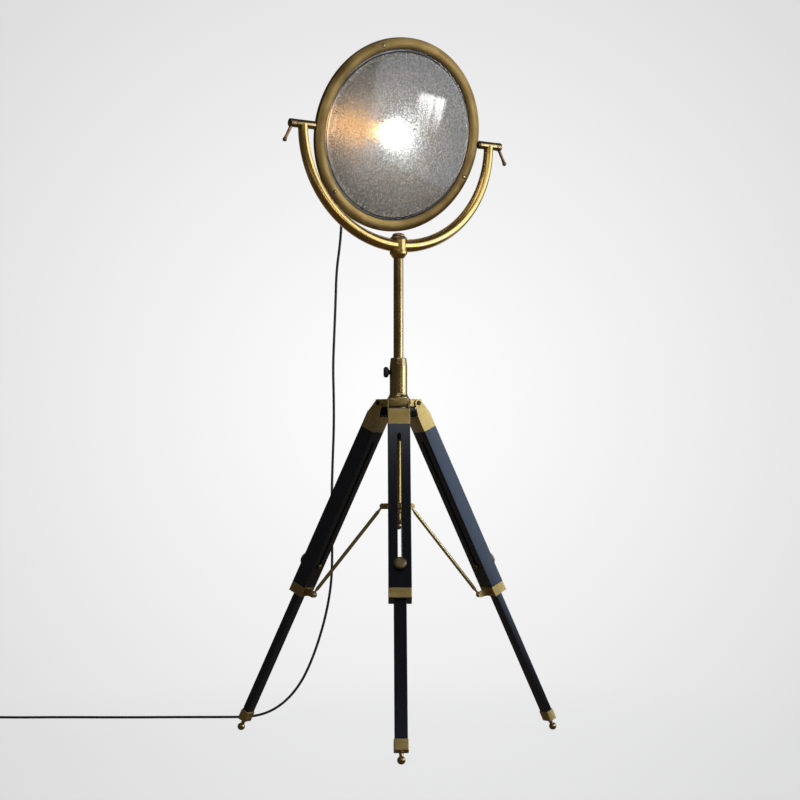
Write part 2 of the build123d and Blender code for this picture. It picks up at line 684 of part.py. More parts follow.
def cord_tube(route, name):
    """A tube of straight runs joined by the widest arcs that the runs allow."""
    points = [Vector(point) for point in route]
    radii = []
    for before, here, after in zip(points, points[1:], points[2:]):
        first, second = here - before, after - here
        turn = math.radians(first.get_angle(second))
        radii.append(0.45 * min(first.length, second.length) / math.tan(turn / 2))
    path = FilletPolyline(*points, radius=radii)
    start = Plane(origin=points[0], z_dir=points[1] - points[0])
    tube = sweep(start * Circle(cord_radius), path)
    section = math.pi * cord_radius ** 2
    print(name, "length", round(path.length), "volume share", round(tube.volume / section / path.length, 4),
          "least radius", round(min(radii), 1), "radii", [round(radius) for radius in radii])
    return tube


pieces["cord_hanging"] = cord_tube(hanging_route, "cord_hanging")
pieces["cord_floor"] = cord_tube(floor_route, "cord_floor")

# The coil winds inwards on the floor, climbs in the half turn where it reverses and winds outwards on top
coil_pitch = 2 * cord_radius + coil_gap
coil_mouth = Vector(floor_route[-1])
coil_end = coil_mouth - Vector(2 * cord_radius, 0, 0)
coil_centre = coil_end - Vector(0, coil_start, 0)
layer_rise = Vector(0, 0, coil_pitch)
half_turns = [(coil_start - step * coil_pitch / 2, 0) for step in range(4)]
half_turns += [(coil_turn_in, 1), (coil_turn_out, 1), (coil_turn_out + coil_pitch / 2, 1)]


def coil_points():
    """Ends of the half turns, in line with the coil's centre, on alternate sides."""
    ends = []
    for step, (radius, layer) in enumerate(half_turns):
        side = 1 if step % 2 == 0 else -1
        ends.append(coil_centre + Vector(0, side * radius, 0) + layer_rise * layer)
    return ends


coil_ends = coil_points()
coil_edges = [Line(coil_mouth, coil_end)]
for step, (start, end) in enumerate(zip(coil_ends, coil_ends[1:])):
    way = Vector(-1, 0, 0) if step % 2 == 0 else Vector(1, 0, 0)
    coil_edges.append(ThreePointArc(start, (start + end) / 2 + way * ((end - start).length / 2), end))
plug_mouth = coil_ends[-1] - Vector(plug_lead, 0, 0)
coil_edges.append(Line(coil_ends[-1], plug_mouth))
coil_path = Wire(coil_edges)
coil = sweep(Plane(origin=coil_mouth, z_dir=(-1, 0, 0)) * Circle(cord_radius), coil_path)
pieces["cord_coil"] = coil

samples = [coil_path @ (step / 600) for step in range(601)]
apart = round(600 * 4 * cord_radius / coil_path.length)
least = min((samples[i] - samples[j]).length for i in range(601) for j in range(i + apart, 601))
print("coil length", round(coil_path.length), "least gap", round(least - 2 * cord_radius, 2), "volume share",
      round(coil.volume / math.pi / cord_radius ** 2 / coil_path.length, 4))

# The tie goes round the coil's turns on the side away from the plug
tie_in = min(coil_turn_in, half_turns[3][0]) - 2 * cord_radius
tie_out = coil_start + cord_radius + lay_room
tie_top = coil_z + coil_pitch + cord_radius + lay_room
tie_low = tie_thickness
tie = Pos((tie_in + tie_out) / 2, 0, (tie_low + tie_top) / 2) * (
    Box(tie_out - tie_in + 2 * tie_thickness, tie_width, tie_top - tie_low + 2 * tie_thickness)
    - Box(tie_out - tie_in, 2 * tie_width, tie_top - tie_low))
pieces["cord_tie"] = Pos(coil_centre.X, coil_centre.Y, 0) * tie

# The plug lies flat with its two pins away from the coil
plug_height = 2 * plug_mouth.Z
plug_face = plug_mouth - Vector(plug_length, 0, 0)
plug_edge = plug_height / 3
mouth_plane = Plane(origin=plug_mouth, x_dir=(0, 1, 0), z_dir=(-1, 0, 0))
waist_plane = mouth_plane.offset(plug_length / 2)
grip = loft([mouth_plane * Circle(1.6 * cord_radius),
             waist_plane * RectangleRounded(0.8 * plug_width, plug_height, plug_edge)])
plug = grip + extrude(waist_plane * RectangleRounded(plug_width, plug_height, plug_edge), plug_length / 2)
for way in (1, -1):
    root = plug_face + Vector(0, way * plug_pin_spacing / 2, 0)
    plug += rod(plug_pin_radius, root, root - Vector(plug_pin_length, 0, 0))
pieces["plug"] = plug
cord_names = ["cord_hanging", "cord_floor", "cord_coil", "cord_tie", "plug"]

# The origin goes to the middle of the base, measured without the cord
boxes = [shape.bounding_box() for name, shape in pieces.items() if name not in cord_names]
middle_x = (min(box.min.X for box in boxes) + max(box.max.X for box in boxes)) / 2
middle_y = (min(box.min.Y for box in boxes) + max(box.max.Y for box in boxes)) / 2
shift = Pos(-middle_x, -middle_y, 0)
print("axis moves to", round(-middle_x, 4), round(-middle_y, 4), "height", max(box.max.Z for box in boxes))
print("hinge height", hinge_z, "brace pivots", pivot_out_radius, pivot_out_height)
print("plug pins from", plug_face - Vector(middle_x, middle_y, 0))

for name, shape in pieces.items():
    export_step(shift * shape, "parts/" + name + ".step")
print(len(pieces), "nodes")
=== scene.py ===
import json
import math
import bmesh
import bpy
from mathutils import Matrix, Vector, noise

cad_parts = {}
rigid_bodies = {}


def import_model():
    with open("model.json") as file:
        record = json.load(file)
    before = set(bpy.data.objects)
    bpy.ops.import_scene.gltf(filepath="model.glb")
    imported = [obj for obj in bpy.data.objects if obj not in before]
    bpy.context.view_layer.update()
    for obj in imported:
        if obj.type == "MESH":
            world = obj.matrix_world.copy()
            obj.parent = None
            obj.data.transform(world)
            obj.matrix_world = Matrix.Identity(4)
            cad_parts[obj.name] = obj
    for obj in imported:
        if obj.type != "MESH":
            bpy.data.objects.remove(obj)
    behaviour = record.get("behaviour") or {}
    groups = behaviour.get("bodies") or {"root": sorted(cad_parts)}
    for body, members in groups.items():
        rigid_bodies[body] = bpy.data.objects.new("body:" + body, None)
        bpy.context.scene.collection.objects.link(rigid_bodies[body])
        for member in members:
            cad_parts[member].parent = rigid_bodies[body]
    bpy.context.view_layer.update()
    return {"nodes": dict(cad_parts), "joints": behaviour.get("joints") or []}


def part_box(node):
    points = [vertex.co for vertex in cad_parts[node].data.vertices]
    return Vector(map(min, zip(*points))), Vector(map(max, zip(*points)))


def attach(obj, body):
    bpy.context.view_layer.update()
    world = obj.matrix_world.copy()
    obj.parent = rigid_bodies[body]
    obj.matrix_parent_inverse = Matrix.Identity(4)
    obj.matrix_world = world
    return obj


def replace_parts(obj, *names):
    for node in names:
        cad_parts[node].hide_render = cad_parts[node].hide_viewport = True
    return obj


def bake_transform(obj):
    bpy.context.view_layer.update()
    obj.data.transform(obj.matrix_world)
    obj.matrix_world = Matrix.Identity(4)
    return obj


for leftover in list(bpy.data.objects):
    bpy.data.objects.remove(leftover)

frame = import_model()
scene = bpy.context.scene
scene.view_settings.view_transform = "Standard"
nodes = frame["nodes"]
joints = {joint["name"]: joint for joint in frame["joints"]}
legSides = ("front", "left", "right")
mm = 0.001  # the dictionaries hold millimetres and degrees, Blender works in metres
print("frame loaded with", len(nodes), "nodes")

# Frames of the moving groups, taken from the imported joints
stance = {"tilt": -14, "splay": 27.1}
up = Vector((0, 0, 1))
postLow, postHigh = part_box("post_tube")
axisFoot = Vector(((postLow.x + postHigh.x) / 2, (postLow.y + postHigh.y) / 2, 0))
pivot = Vector(joints["head_tilt"]["pos_m"])
across = Vector(joints["head_tilt"]["axis"])


def frameAt(origin, xDir, zDir):
    rows = Matrix((xDir, zDir.cross(xDir), zDir))
    return Matrix.Translation(origin) @ rows.transposed().to_4x4()


tilt = math.radians(stance["tilt"])
facing = across.cross(up) * math.cos(tilt) + up * math.sin(tilt)
headFrame = frameAt(pivot, across, facing)
yokeFrame = frameAt(pivot, across, up)
axisFrame = Matrix.Translation(axisFoot)


def outwardFrom(spot):
    return Vector((spot.x - axisFoot.x, spot.y - axisFoot.y, 0)).normalized()


def legFrame(side):
    hinge = Vector(joints["leg_" + side + "_fold"]["pos_m"])
    out = outwardFrom(hinge)
    splay = math.radians(stance["splay"])
    return frameAt(hinge, out.cross(up), up * math.cos(splay) - out * math.sin(splay))


# Camera at the photograph's viewing angle
view = {"lens": 91.75, "sensor": 36, "back": 4500, "left": 63.5, "height": 522.1, "pitch": 2.854,
        "yaw": -0.853}
cameraData = bpy.data.cameras.new("camera")
cameraData.lens = view["lens"]
cameraData.sensor_width = view["sensor"]
camera = bpy.data.objects.new("camera", cameraData)
scene.collection.objects.link(camera)
camera.location = axisFoot + Vector((-view["left"], -view["back"], view["height"])) * mm
camera.rotation_euler = (math.radians(90 + view["pitch"]), 0, math.radians(view["yaw"]))
scene.camera = camera
print("camera placed")


# Node helpers
def feed(tree, socket, value):
    if isinstance(value, bpy.types.NodeSocket):
        tree.links.new(value, socket)
    else:
        socket.default_value = value


def fill(tree, sockets, values):
    for key, value in values.items():
        feed(tree, sockets[key], value)


def put(tree, kind, inputs=None, **settings):
    made = tree.nodes.new("ShaderNode" + kind)
    for key, value in settings.items():
        setattr(made, key, value)
    fill(tree, made.inputs, inputs or {})
    return made


def mixColours(tree, share, first, second):
    return put(tree, "Mix", {0: share, 6: first, 7: second}, data_type="RGBA").outputs[2]


def spread(tree, value, ends, becomes=(0, 1)):
    return put(tree, "MapRange", {0: value, 1: ends[0], 2: ends[1], 3: becomes[0], 4: becomes[1]}).outputs[0]


def maths(tree, operation, first, second=0.0):
    return put(tree, "Math", {0: first, 1: second}, operation=operation).outputs[0]


def vectors(tree, operation, inputs, result="Vector"):
    return put(tree, "VectorMath", inputs, operation=operation).outputs[result]


def noiseAt(tree, place, scale, detail, roughness=0.5):
    inputs = {"Vector": place, "Scale": scale, "Detail": detail, "Roughness": roughness}
    return put(tree, "TexNoise", inputs).outputs[0]


def bumped(tree, height, strength, depth):
    return put(tree, "Bump", {"Strength": strength, "Distance": depth * mm, "Height": height}).outputs[0]


def startGroup(name, inputs, outputs):
    group = bpy.data.node_groups.new(name, "ShaderNodeTree")
    for label, kind, value in inputs:
        socket = group.interface.new_socket(label, in_out="INPUT", socket_type="NodeSocket" + kind)
        socket.default_value = value
    for label, kind in outputs:
        group.interface.new_socket(label, in_out="OUTPUT", socket_type="NodeSocket" + kind)
    return group, group.nodes.new("NodeGroupInput").outputs, group.nodes.new("NodeGroupOutput").inputs


def groupValue(tree, group, inputs, result):
    made = put(tree, "Group", node_tree=group)
    fill(tree, made.inputs, inputs)
    return made.outputs[result]


def startMaterial(name):
    material = bpy.data.materials.new(name)
    material.use_nodes = True
    tree = material.node_tree
    place = put(tree, "TexCoord").outputs["Object"]
    return material, tree, tree.nodes["Principled BSDF"].inputs, place


def bareTree(owner):
    owner.use_nodes = True
    owner.node_tree.nodes.clear()
    return owner.node_tree


def show(tree, shader, kind="OutputMaterial"):
    tree.links.new(shader.outputs[0], put(tree, kind).inputs["Surface"])


def rgb(red, green, blue):
    return (red, green, blue, 1.0)


# Shared effects
anyPlace = ("Vector", "Vector", (0, 0, 0))


def makeTarnish():
    group, given, result = startGroup(
        "tarnish", [anyPlace, ("Scale", "Float", 20), ("Bright", "Color", rgb(0.5, 0.4, 0.2)),
                    ("Dark", "Color", rgb(0.2, 0.15, 0.1))], [("Colour", "Color")])
    cloud = noiseAt(group, given["Vector"], given["Scale"], detail=5, roughness=0.6)
    mask = spread(group, cloud, (0.36, 0.66))
    feed(group, result["Colour"], mixColours(group, mask, given["Bright"], given["Dark"]))
    return group


# Lighter edges: wear, and on the satin brass and the black wood also a painted highlight that stands in for
# the bevels' reflections
def makeEdgeWearAndHighlight():
    group, given, result = startGroup(
        "edgeWearAndHighlight", [anyPlace, ("Radius", "Float", 0.001), ("Scale", "Float", 300)], [("Mask", "Float")])
    rounded = put(group, "Bevel", {"Radius": given["Radius"]}, samples=4).outputs[0]
    normal = put(group, "NewGeometry").outputs["Normal"]
    match = vectors(group, "DOT_PRODUCT", {0: rounded, 1: normal}, "Value")
    edge = spread(group, match, (0.995, 0.9))
    edgePatches = spread(group, noiseAt(group, given["Vector"], given["Scale"], detail=4), (0.4, 0.6), (0.25, 1))
    feed(group, result["Mask"], maths(group, "MULTIPLY", edge, edgePatches))
    return group


def makeTurnedGrain():
    group, given, result = startGroup("turnedGrain", [anyPlace, ("Scale", "Float", 900)],
                                      [("Grain", "Float")])
    split = put(group, "SeparateXYZ", {0: given["Vector"]}).outputs
    squares = [maths(group, "POWER", split[axis], 2.0) for axis in ("X", "Y")]
    radius = maths(group, "SQRT", maths(group, "ADD", *squares))
    angle = maths(group, "MULTIPLY", maths(group, "ARCTAN2", split["Y"], split["X"]), 0.004)  # long strokes
    lined = put(group, "CombineXYZ", {0: radius, 1: split["Z"], 2: angle}).outputs[0]
    feed(group, result["Grain"], noiseAt(group, lined, given["Scale"], detail=3, roughness=0.7))
    return group


def makeAlongGrain():
    group, given, result = startGroup(
        "alongGrain", [anyPlace, ("Along", "Vector", (0, 0, 1)), ("Scale", "Float", 900),
                       ("Stretch", "Float", 0.03)], [("Grain", "Float")])
    share = vectors(group, "DOT_PRODUCT", {0: given["Vector"], 1: given["Along"]}, "Value")
    lengthwise = vectors(group, "SCALE", {0: given["Along"], "Scale": share})
    sideways = vectors(group, "SUBTRACT", {0: given["Vector"], 1: lengthwise})
    drawn = vectors(group, "SCALE", {0: lengthwise, "Scale": given["Stretch"]})
    line = vectors(group, "ADD", {0: sideways, 1: drawn})
    feed(group, result["Grain"], noiseAt(group, line, given["Scale"], detail=4, roughness=0.65))
    return group


def makeHammer():
    group, given, result = startGroup("hammerDimples", [anyPlace, ("Scale", "Float", 200)],
                                      [("Height", "Float")])
    inputs = {"Vector": given["Vector"], "Scale": given["Scale"], "Smoothness": 0.7}
    cells = put(group, "TexVoronoi", inputs, feature="SMOOTH_F1").outputs["Distance"]
    ripple = noiseAt(group, given["Vector"], given["Scale"], detail=2)
    feed(group, result["Height"], maths(group, "ADD", cells, ripple))
    return group


tarnish, edgeWearAndHighlight = makeTarnish(), makeEdgeWearAndHighlight()
turnedGrain, alongGrain, hammerDimples = makeTurnedGrain(), makeAlongGrain(), makeHammer()
middling = (0.3, 0.7)  # where most of a noise's values lie

# Metals: each look changes a few values of the plain one
plainMetal = {"bright": (0.52, 0.40, 0.19), "dark": (0.38, 0.28, 0.12), "worn": (0.66, 0.53, 0.28),
              "edge": 0.7, "stainScale": 18, "grainScale": 900, "roughness": (0.34, 0.48), "bump": 0.12,
              "bumpDepth": 0.2, "along": None, "coat": 0.0, "coatRoughness": 0.12, "turned": 0.0,
              "quarter": 0.25, "lines": 0.0}


def makeMetal(name, **changes):
    look = {**plainMetal, **changes}
    material, tree, shader, place = startMaterial(name)
    bright, dark, worn = (rgb(*look[key]) for key in ("bright", "dark", "worn"))
    stain = {"Vector": place, "Scale": look["stainScale"], "Bright": bright, "Dark": dark}
    colour = groupValue(tree, tarnish, stain, "Colour")
    wearAndHighlight = groupValue(tree, edgeWearAndHighlight, {"Vector": place, "Radius": look["edge"] * mm}, "Mask")
    strokes = {"Vector": place, "Scale": look["grainScale"]}
    if look["along"] is None:
        grain = groupValue(tree, turnedGrain, strokes, "Grain")
    else:
        grain = groupValue(tree, alongGrain, {**strokes, "Along": look["along"]}, "Grain")
    if look["lines"]:
        colour = mixColours(tree, spread(tree, grain, (0.4, 0.6), (look["lines"], 0)), colour, dark)
    fill(tree, shader, {
        "Base Color": mixColours(tree, wearAndHighlight, colour, worn), "Metallic": 1.0,
        "Roughness": spread(tree, grain, middling, look["roughness"]),
        "Normal": bumped(tree, grain, look["bump"], look["bumpDepth"]),
        "Coat Weight": look["coat"], "Coat Roughness": look["coatRoughness"]})
    if look["turned"]:
        tangent = put(tree, "Tangent", direction_type="RADIAL", axis="Z").outputs[0]
        fill(tree, shader, {"Anisotropic": look["turned"], "Anisotropic Rotation": look["quarter"],
                            "Tangent": tangent})
    return material


spunBrass = {"bright": (0.215, 0.140, 0.048), "dark": (0.115, 0.070, 0.023), "worn": (0.44, 0.33, 0.15),
             "roughness": (0.28, 0.40), "stainScale": 13}
ringBrass = makeMetal("ringBrass", **spunBrass, turned=0.4)
bowlBrass = makeMetal("bowlBrass", **spunBrass, along=across)
yokeBrass = makeMetal(
    "yokeBrass", bright=(0.72, 0.46, 0.125), dark=(0.55, 0.335, 0.080), worn=(0.76, 0.54, 0.19),
    roughness=(0.17, 0.28), grainScale=500, bump=0.03, along=(0, 0, 1), coat=1.0)
tubeBrass = makeMetal("tubeBrass", bright=(0.46, 0.32, 0.12), dark=(0.32, 0.21, 0.07), roughness=(0.18, 0.28),
                      grainScale=1400, coat=1.0)
braceBrass = makeMetal("braceBrass", bright=(0.74, 0.60, 0.30), dark=(0.58, 0.45, 0.20),
                       roughness=(0.28, 0.40), grainScale=1400)
# satin brass: its bright, wide edge colour is a painted highlight along the plate bevels, besides wear
satinBrass = makeMetal("satinBrass", bright=(0.62, 0.47, 0.19), dark=(0.40, 0.28, 0.10),
                       worn=(0.90, 0.78, 0.50), along=(1, 0, 0), roughness=(0.36, 0.54), bump=0.4, edge=1.9,
                       grainScale=330, lines=0.8)
agedBrass = makeMetal("agedBrass", bright=(0.32, 0.25, 0.14), dark=(0.20, 0.15, 0.08),
                      worn=(0.50, 0.40, 0.21))
darkBronze = makeMetal("darkBronze", bright=(0.12, 0.09, 0.05), dark=(0.06, 0.045, 0.025),
                       worn=(0.28, 0.21, 0.11), roughness=(0.28, 0.42))
knobBronze = makeMetal("knobBronze", bright=(0.27, 0.20, 0.11), dark=(0.19, 0.14, 0.075),
                       worn=(0.36, 0.28, 0.15))
leverBronze = makeMetal("leverBronze", bright=(0.36, 0.22, 0.115), dark=(0.22, 0.13, 0.065),
                        worn=(0.50, 0.34, 0.18), roughness=(0.28, 0.42))
blackSteel = makeMetal("blackSteel", bright=(0.05, 0.047, 0.043), dark=(0.025, 0.023, 0.021),
                       worn=(0.2, 0.18, 0.15), roughness=(0.28, 0.42))
paleSteel = makeMetal("paleSteel", bright=(0.52, 0.51, 0.49), dark=(0.40, 0.39, 0.37), worn=(0.6, 0.6, 0.6),
                      roughness=(0.25, 0.4))
mirrorDish = makeMetal("mirrorDish", bright=(0.36, 0.355, 0.34), dark=(0.27, 0.265, 0.25),
                       worn=(0.5, 0.5, 0.5), roughness=(0.24, 0.36), bump=0.05)

# Black wood, with the grain along its own leg
# the light edge colour is partly wear and partly a painted highlight along the legs' edges
wood = {"grainScale": 700, "stretch": 0.02, "bump": 0.12, "bumpDepth": 0.3, "roughness": (0.13, 0.20),
        "edge": 0.8, "wearAndHighlight": 0.5, "black": (0.003, 0.003, 0.0035), "brown": (0.007, 0.0063, 0.006),
        "worn": (0.075, 0.072, 0.07), "sheen": (0.80, 0.93, 1.18)}


def makeBlackWood(side):
    material, tree, shader, place = startMaterial("blackWood_" + side)
    grain = groupValue(tree, alongGrain, {
        "Vector": place, "Along": legFrame(side).to_3x3().col[2], "Scale": wood["grainScale"],
        "Stretch": wood["stretch"]}, "Grain")
    wearAndHighlight = groupValue(tree, edgeWearAndHighlight, {"Vector": place, "Radius": wood["edge"] * mm}, "Mask")
    colour = mixColours(tree, grain, rgb(*wood["black"]), rgb(*wood["brown"]))
    wearAndHighlightShare = maths(tree, "MULTIPLY", wearAndHighlight, wood["wearAndHighlight"])
    fill(tree, shader, {
        "Base Color": mixColours(tree, wearAndHighlightShare, colour, rgb(*wood["worn"])),
        "Roughness": spread(tree, grain, middling, wood["roughness"]), "Specular Tint": rgb(*wood["sheen"]),
        "Normal": bumped(tree, grain, wood["bump"], wood["bumpDepth"])})
    return material


# Plastic, flex, rubber and enamel
moulded = {"stainScale": 60, "skinDetail": 3, "smoother": 0.06, "rougher": 0.08, "bump": 0.15,
           "bumpDepth": 0.2}


def makeMoulded(name, dark, light, roughness, skinScale):
    material, tree, shader, place = startMaterial(name)
    stain = {"Vector": place, "Scale": moulded["stainScale"], "Bright": rgb(*light), "Dark": rgb(*dark)}
    skin = noiseAt(tree, place, skinScale, moulded["skinDetail"])
    ends = (roughness - moulded["smoother"], roughness + moulded["rougher"])
    fill(tree, shader, {"Base Color": groupValue(tree, tarnish, stain, "Colour"),
                        "Roughness": spread(tree, skin, middling, ends),
                        "Normal": bumped(tree, skin, moulded["bump"], moulded["bumpDepth"])})
    return material


blackWood = {side: makeBlackWood(side) for side in legSides}
blackPlastic = makeMoulded("blackPlastic", (0.008, 0.008, 0.009), (0.016, 0.016, 0.017), 0.38, 2500)
blackFlex = makeMoulded("blackFlex", (0.010, 0.010, 0.010), (0.018, 0.018, 0.018), 0.45, 1800)
blackRubber = makeMoulded("blackRubber", (0.010, 0.010, 0.010), (0.020, 0.020, 0.020), 0.6, 1500)
blackEnamel = makeMoulded("blackEnamel", (0.006, 0.006, 0.006), (0.012, 0.011, 0.010), 0.20, 900)

# Glass: clear in front, hammered and a little milky behind
glass = {"tint": (0.95, 0.96, 0.97), "index": 1.45, "smearScale": 40, "smear": (0.01, 0.04),
         "shade": (0.30, 0.30, 0.32), "roughness": (0.12, 0.30), "cells": 250, "bump": 0.8,
         "bumpDepth": 1, "milk": (0.03, 0.66), "milkTint": (0.84, 0.90, 0.93)}


def makeHammeredGlass():
    material, tree, shader, place = startMaterial("hammeredGlass")
    height = groupValue(tree, hammerDimples, {"Vector": place, "Scale": glass["cells"]}, "Height")
    grain = spread(tree, height, (0.65, 1.15))
    bump = bumped(tree, height, glass["bump"], glass["bumpDepth"])
    fill(tree, shader, {
        "Base Color": mixColours(tree, grain, rgb(*glass["shade"]), rgb(*glass["tint"])),
        "Transmission Weight": 1.0, "IOR": glass["index"], "Normal": bump,
        "Roughness": spread(tree, height, (0.3, 1.3), glass["roughness"])})
    milk = put(tree, "BsdfTranslucent", {"Color": rgb(*glass["milkTint"]), "Normal": bump}).outputs[0]
    clear = tree.nodes["Principled BSDF"].outputs[0]
    share = spread(tree, grain, (0, 1), glass["milk"])
    both = put(tree, "MixShader", {0: share, 1: clear, 2: milk}).outputs[0]
    tree.links.new(both, tree.nodes["Material Output"].inputs["Surface"])
    return material


def makeClearGlass():
    material, tree, shader, place = startMaterial("clearGlass")
    smear = noiseAt(tree, place, glass["smearScale"], detail=4)
    fill(tree, shader, {"Base Color": rgb(*glass["tint"]), "Transmission Weight": 1.0, "IOR": glass["index"],
                        "Roughness": spread(tree, smear, middling, glass["smear"])})
    return material


hammeredGlass, clearGlass = makeHammeredGlass(), makeClearGlass()

# Lit bulb, orange low down and warm white towards its tip
glow = {"glass": (0.9, 0.88, 0.84), "roughness": 0.4, "core": (1.0, 0.95, 0.86), "rim": (1.0, 0.48, 0.12),
        "strength": 6.5, "heights": (-50, -16)}


def makeLitBulb():
    material, tree, shader, place = startMaterial("litBulb")
    height = put(tree, "SeparateXYZ", {0: place}).outputs["Z"]
    share = spread(tree, height, [level * mm for level in glow["heights"]])
    fill(tree, shader, {"Base Color": rgb(*glow["glass"]), "Roughness": glow["roughness"],
                        "Emission Strength": glow["strength"],
                        "Emission Color": mixColours(tree, share, rgb(*glow["rim"]), rgb(*glow["core"]))})
    return material


litBulb = makeLitBulb()
print("materials made:", len(bpy.data.materials))


# Profile helpers
def shares(steps):
    return [step / steps for step in range(steps + 1)]


def scaled(shape, wide, high, start=0):
    return [(out * wide, start + along * high) for out, along in shape]


def ballArc(radius, centre, fromAngle, toAngle, steps, rise=None):
    # ends on the axis
    points = []
    for step in range(steps + 1):
        angle = math.radians(fromAngle + (toAngle - fromAngle) * step / steps)
        points.append((radius * math.cos(angle) if step < steps else 0,
                       centre + (rise or radius) * math.sin(angle)))
    return points


def roundOff(profile, sizes, closed=False, steps=4):
    if not isinstance(sizes, (list, tuple)):
        sizes = [sizes] * len(profile)
    count = len(profile)
    rounded = []
    for index, (point, size) in enumerate(zip(profile, sizes)):
        here = Vector(point)
        if size <= 0 or (not closed and index in (0, count - 1)):
            rounded.append(tuple(here))
            continue
        before = Vector(profile[index - 1]) - here
        after = Vector(profile[(index + 1) % count]) - here
        reach = min(size, 0.45 * before.length, 0.45 * after.length)  # neighbours never meet
        first, last = here + before.normalized() * reach, here + after.normalized() * reach
        for share in shares(steps):
            spot = first * (1 - share) ** 2 + here * 2 * share * (1 - share) + last * share ** 2
            rounded.append(tuple(spot))
    return rounded


def flutes(count, depth, beyond):
    def cut(angle, radius):
        return 1 - depth * max(0, math.cos(count * angle)) if radius > beyond else 1
    return cut


def quarterTurn(axis, way=1):
    return Matrix.Rotation(way * math.pi / 2, 4, axis)


# Mesh helpers
def bridge(bm, low, high):
    for step in range(len(low)):
        after = (step + 1) % len(low)
        bm.faces.new((low[step], low[after], high[after], high[step]))


def turn(profile, steps, closed=False, place=Matrix.Identity(4), wobble=None, into=None):
    bm = into or bmesh.new()
    rings = []
    for radius, height in profile:
        if radius < 1e-6:
            rings.append([bm.verts.new(place @ Vector((0, 0, height * mm)))])
            continue
        ring = []
        for step in range(steps):
            angle = 2 * math.pi * step / steps
            reach = radius * mm * (wobble(angle, radius) if wobble else 1)
            spot = Vector((reach * math.cos(angle), reach * math.sin(angle), height * mm))
            ring.append(bm.verts.new(place @ spot))
        rings.append(ring)
    pairs = list(zip(rings, rings[1:]))
    if closed:
        pairs.append((rings[-1], rings[0]))
    for low, high in pairs:
        for step in range(steps):
            after = (step + 1) % steps
            corners = [low[step % len(low)], low[after % len(low)], high[after % len(high)],
                       high[step % len(high)]]
            corners = [vert for index, vert in enumerate(corners) if vert not in corners[:index]]
            if len(corners) > 2:
                bm.faces.new(corners)
    return bm


def tube(centres, radii, sides, into=None):
    bm = into or bmesh.new()
    rings = []
    ahead = (centres[1] - centres[0]).normalized()
    side = ahead.orthogonal().normalized()
    for index, (centre, radius) in enumerate(zip(centres, radii)):
        last = centres[min(index + 1, len(centres) - 1)]
        first = centres[max(index - 1, 0)]
        ahead = (last - first).normalized()
        side = (side - ahead * side.dot(ahead)).normalized()
        other = ahead.cross(side)
        ring = []
        for step in range(sides):
            angle = 2 * math.pi * step / sides
            ring.append(bm.verts.new(centre + (side * math.cos(angle) + other * math.sin(angle)) * radius))
        rings.append(ring)
    for low, high in zip(rings, rings[1:]):
        bridge(bm, low, high)
    bm.faces.new(list(reversed(rings[0])))
    bm.faces.new(rings[-1])
    return bm


def roundedBar(width, depth, edge, stations, place, into=None, cornerSteps=4):
    bm = into or bmesh.new()
    loops = []
    for height, inset in stations:
        loop = []
        for corner in range(4):
            middle = math.radians(45 + 90 * corner)
            spot = Vector((math.copysign(width / 2 - edge, math.cos(middle)),
                           math.copysign(depth / 2 - edge, math.sin(middle)), height))
            for step in range(cornerSteps + 1):
                angle = math.radians(90 * corner + 90 / cornerSteps * step)
                reach = Vector((math.cos(angle), math.sin(angle), 0)) * (edge - inset)
                loop.append(bm.verts.new(place @ ((spot + reach) * mm)))
        loops.append(loop)
    for low, high in zip(loops, loops[1:]):
        bridge(bm, low, high)
    bm.faces.new(loops[0])
    bm.faces.new(loops[-1])
    return bm


def meshObject(name, bm):
    mesh = bpy.data.meshes.new(name)
    bm.to_mesh(mesh)
    bm.free()
    made = bpy.data.objects.new(name, mesh)
    scene.collection.objects.link(made)
    return made


def smooth(mesh, sharp=38):
    mesh.shade_smooth()
    mesh.set_sharp_from_angle(angle=math.radians(sharp))


def addPiece(name, bm, material, body, place=None, node=None, sharp=38):
    bmesh.ops.recalc_face_normals(bm, faces=bm.faces)
    piece = meshObject(name, bm)
    piece.data.materials.append(material)
    smooth(piece.data, sharp)
    if place is not None:
        piece.matrix_world = place
    if body:
        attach(piece, body)
    if node:
        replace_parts(piece, node)
    return piece


def block(name, size, place):
    bm = bmesh.new()
    bmesh.ops.create_cube(bm, size=1, matrix=Matrix.Diagonal((*[side * mm for side in size], 1)))
    cutter = meshObject(name, bm)
    cutter.matrix_world = place
    return cutter


def carve(piece, cutters):
    for cutter in cutters:
        cut = piece.modifiers.new("cut", "BOOLEAN")
        cut.object = cutter
        cut.solver = "EXACT"
    depsgraph = bpy.context.evaluated_depsgraph_get()
    mesh = bpy.data.meshes.new_from_object(piece.evaluated_get(depsgraph))
    piece.modifiers.clear()
    piece.data = mesh
    smooth(mesh)
    for cutter in cutters:
        bpy.data.objects.remove(cutter)
    return piece


def slottedHead(bm, shape, place):
    wide, high = shape["radius"], shape["height"]
    profile = scaled(((0, 1), (0.45, 0.96), (0.8, 0.75), (1, 0.3), (1, -0.4), (0, -0.4)), wide, high)
    turn(roundOff(profile, 0.3 * wide), 28, place=place, into=bm)


def slotCutter(shape, place, degrees):
    lift = Matrix.Translation((0, 0, shape["height"] * mm))
    size = (3 * shape["radius"], shape["slot"], shape["slotDepth"] * shape["height"])
    return block("slot", size, place @ lift @ Matrix.Rotation(math.radians(degrees), 4, "Z"))


def paintFaces(mesh, material, towards, share=0.9):
    mesh.materials.append(material)
    for face in mesh.polygons:
        if face.normal.dot(towards) > share:
            face.material_index = len(mesh.materials) - 1


# A solid from the CAD is shown with softened edges
finish = {"weld": 1e-5, "flat": 0.4, "segments": 3, "edgeAngle": 32}


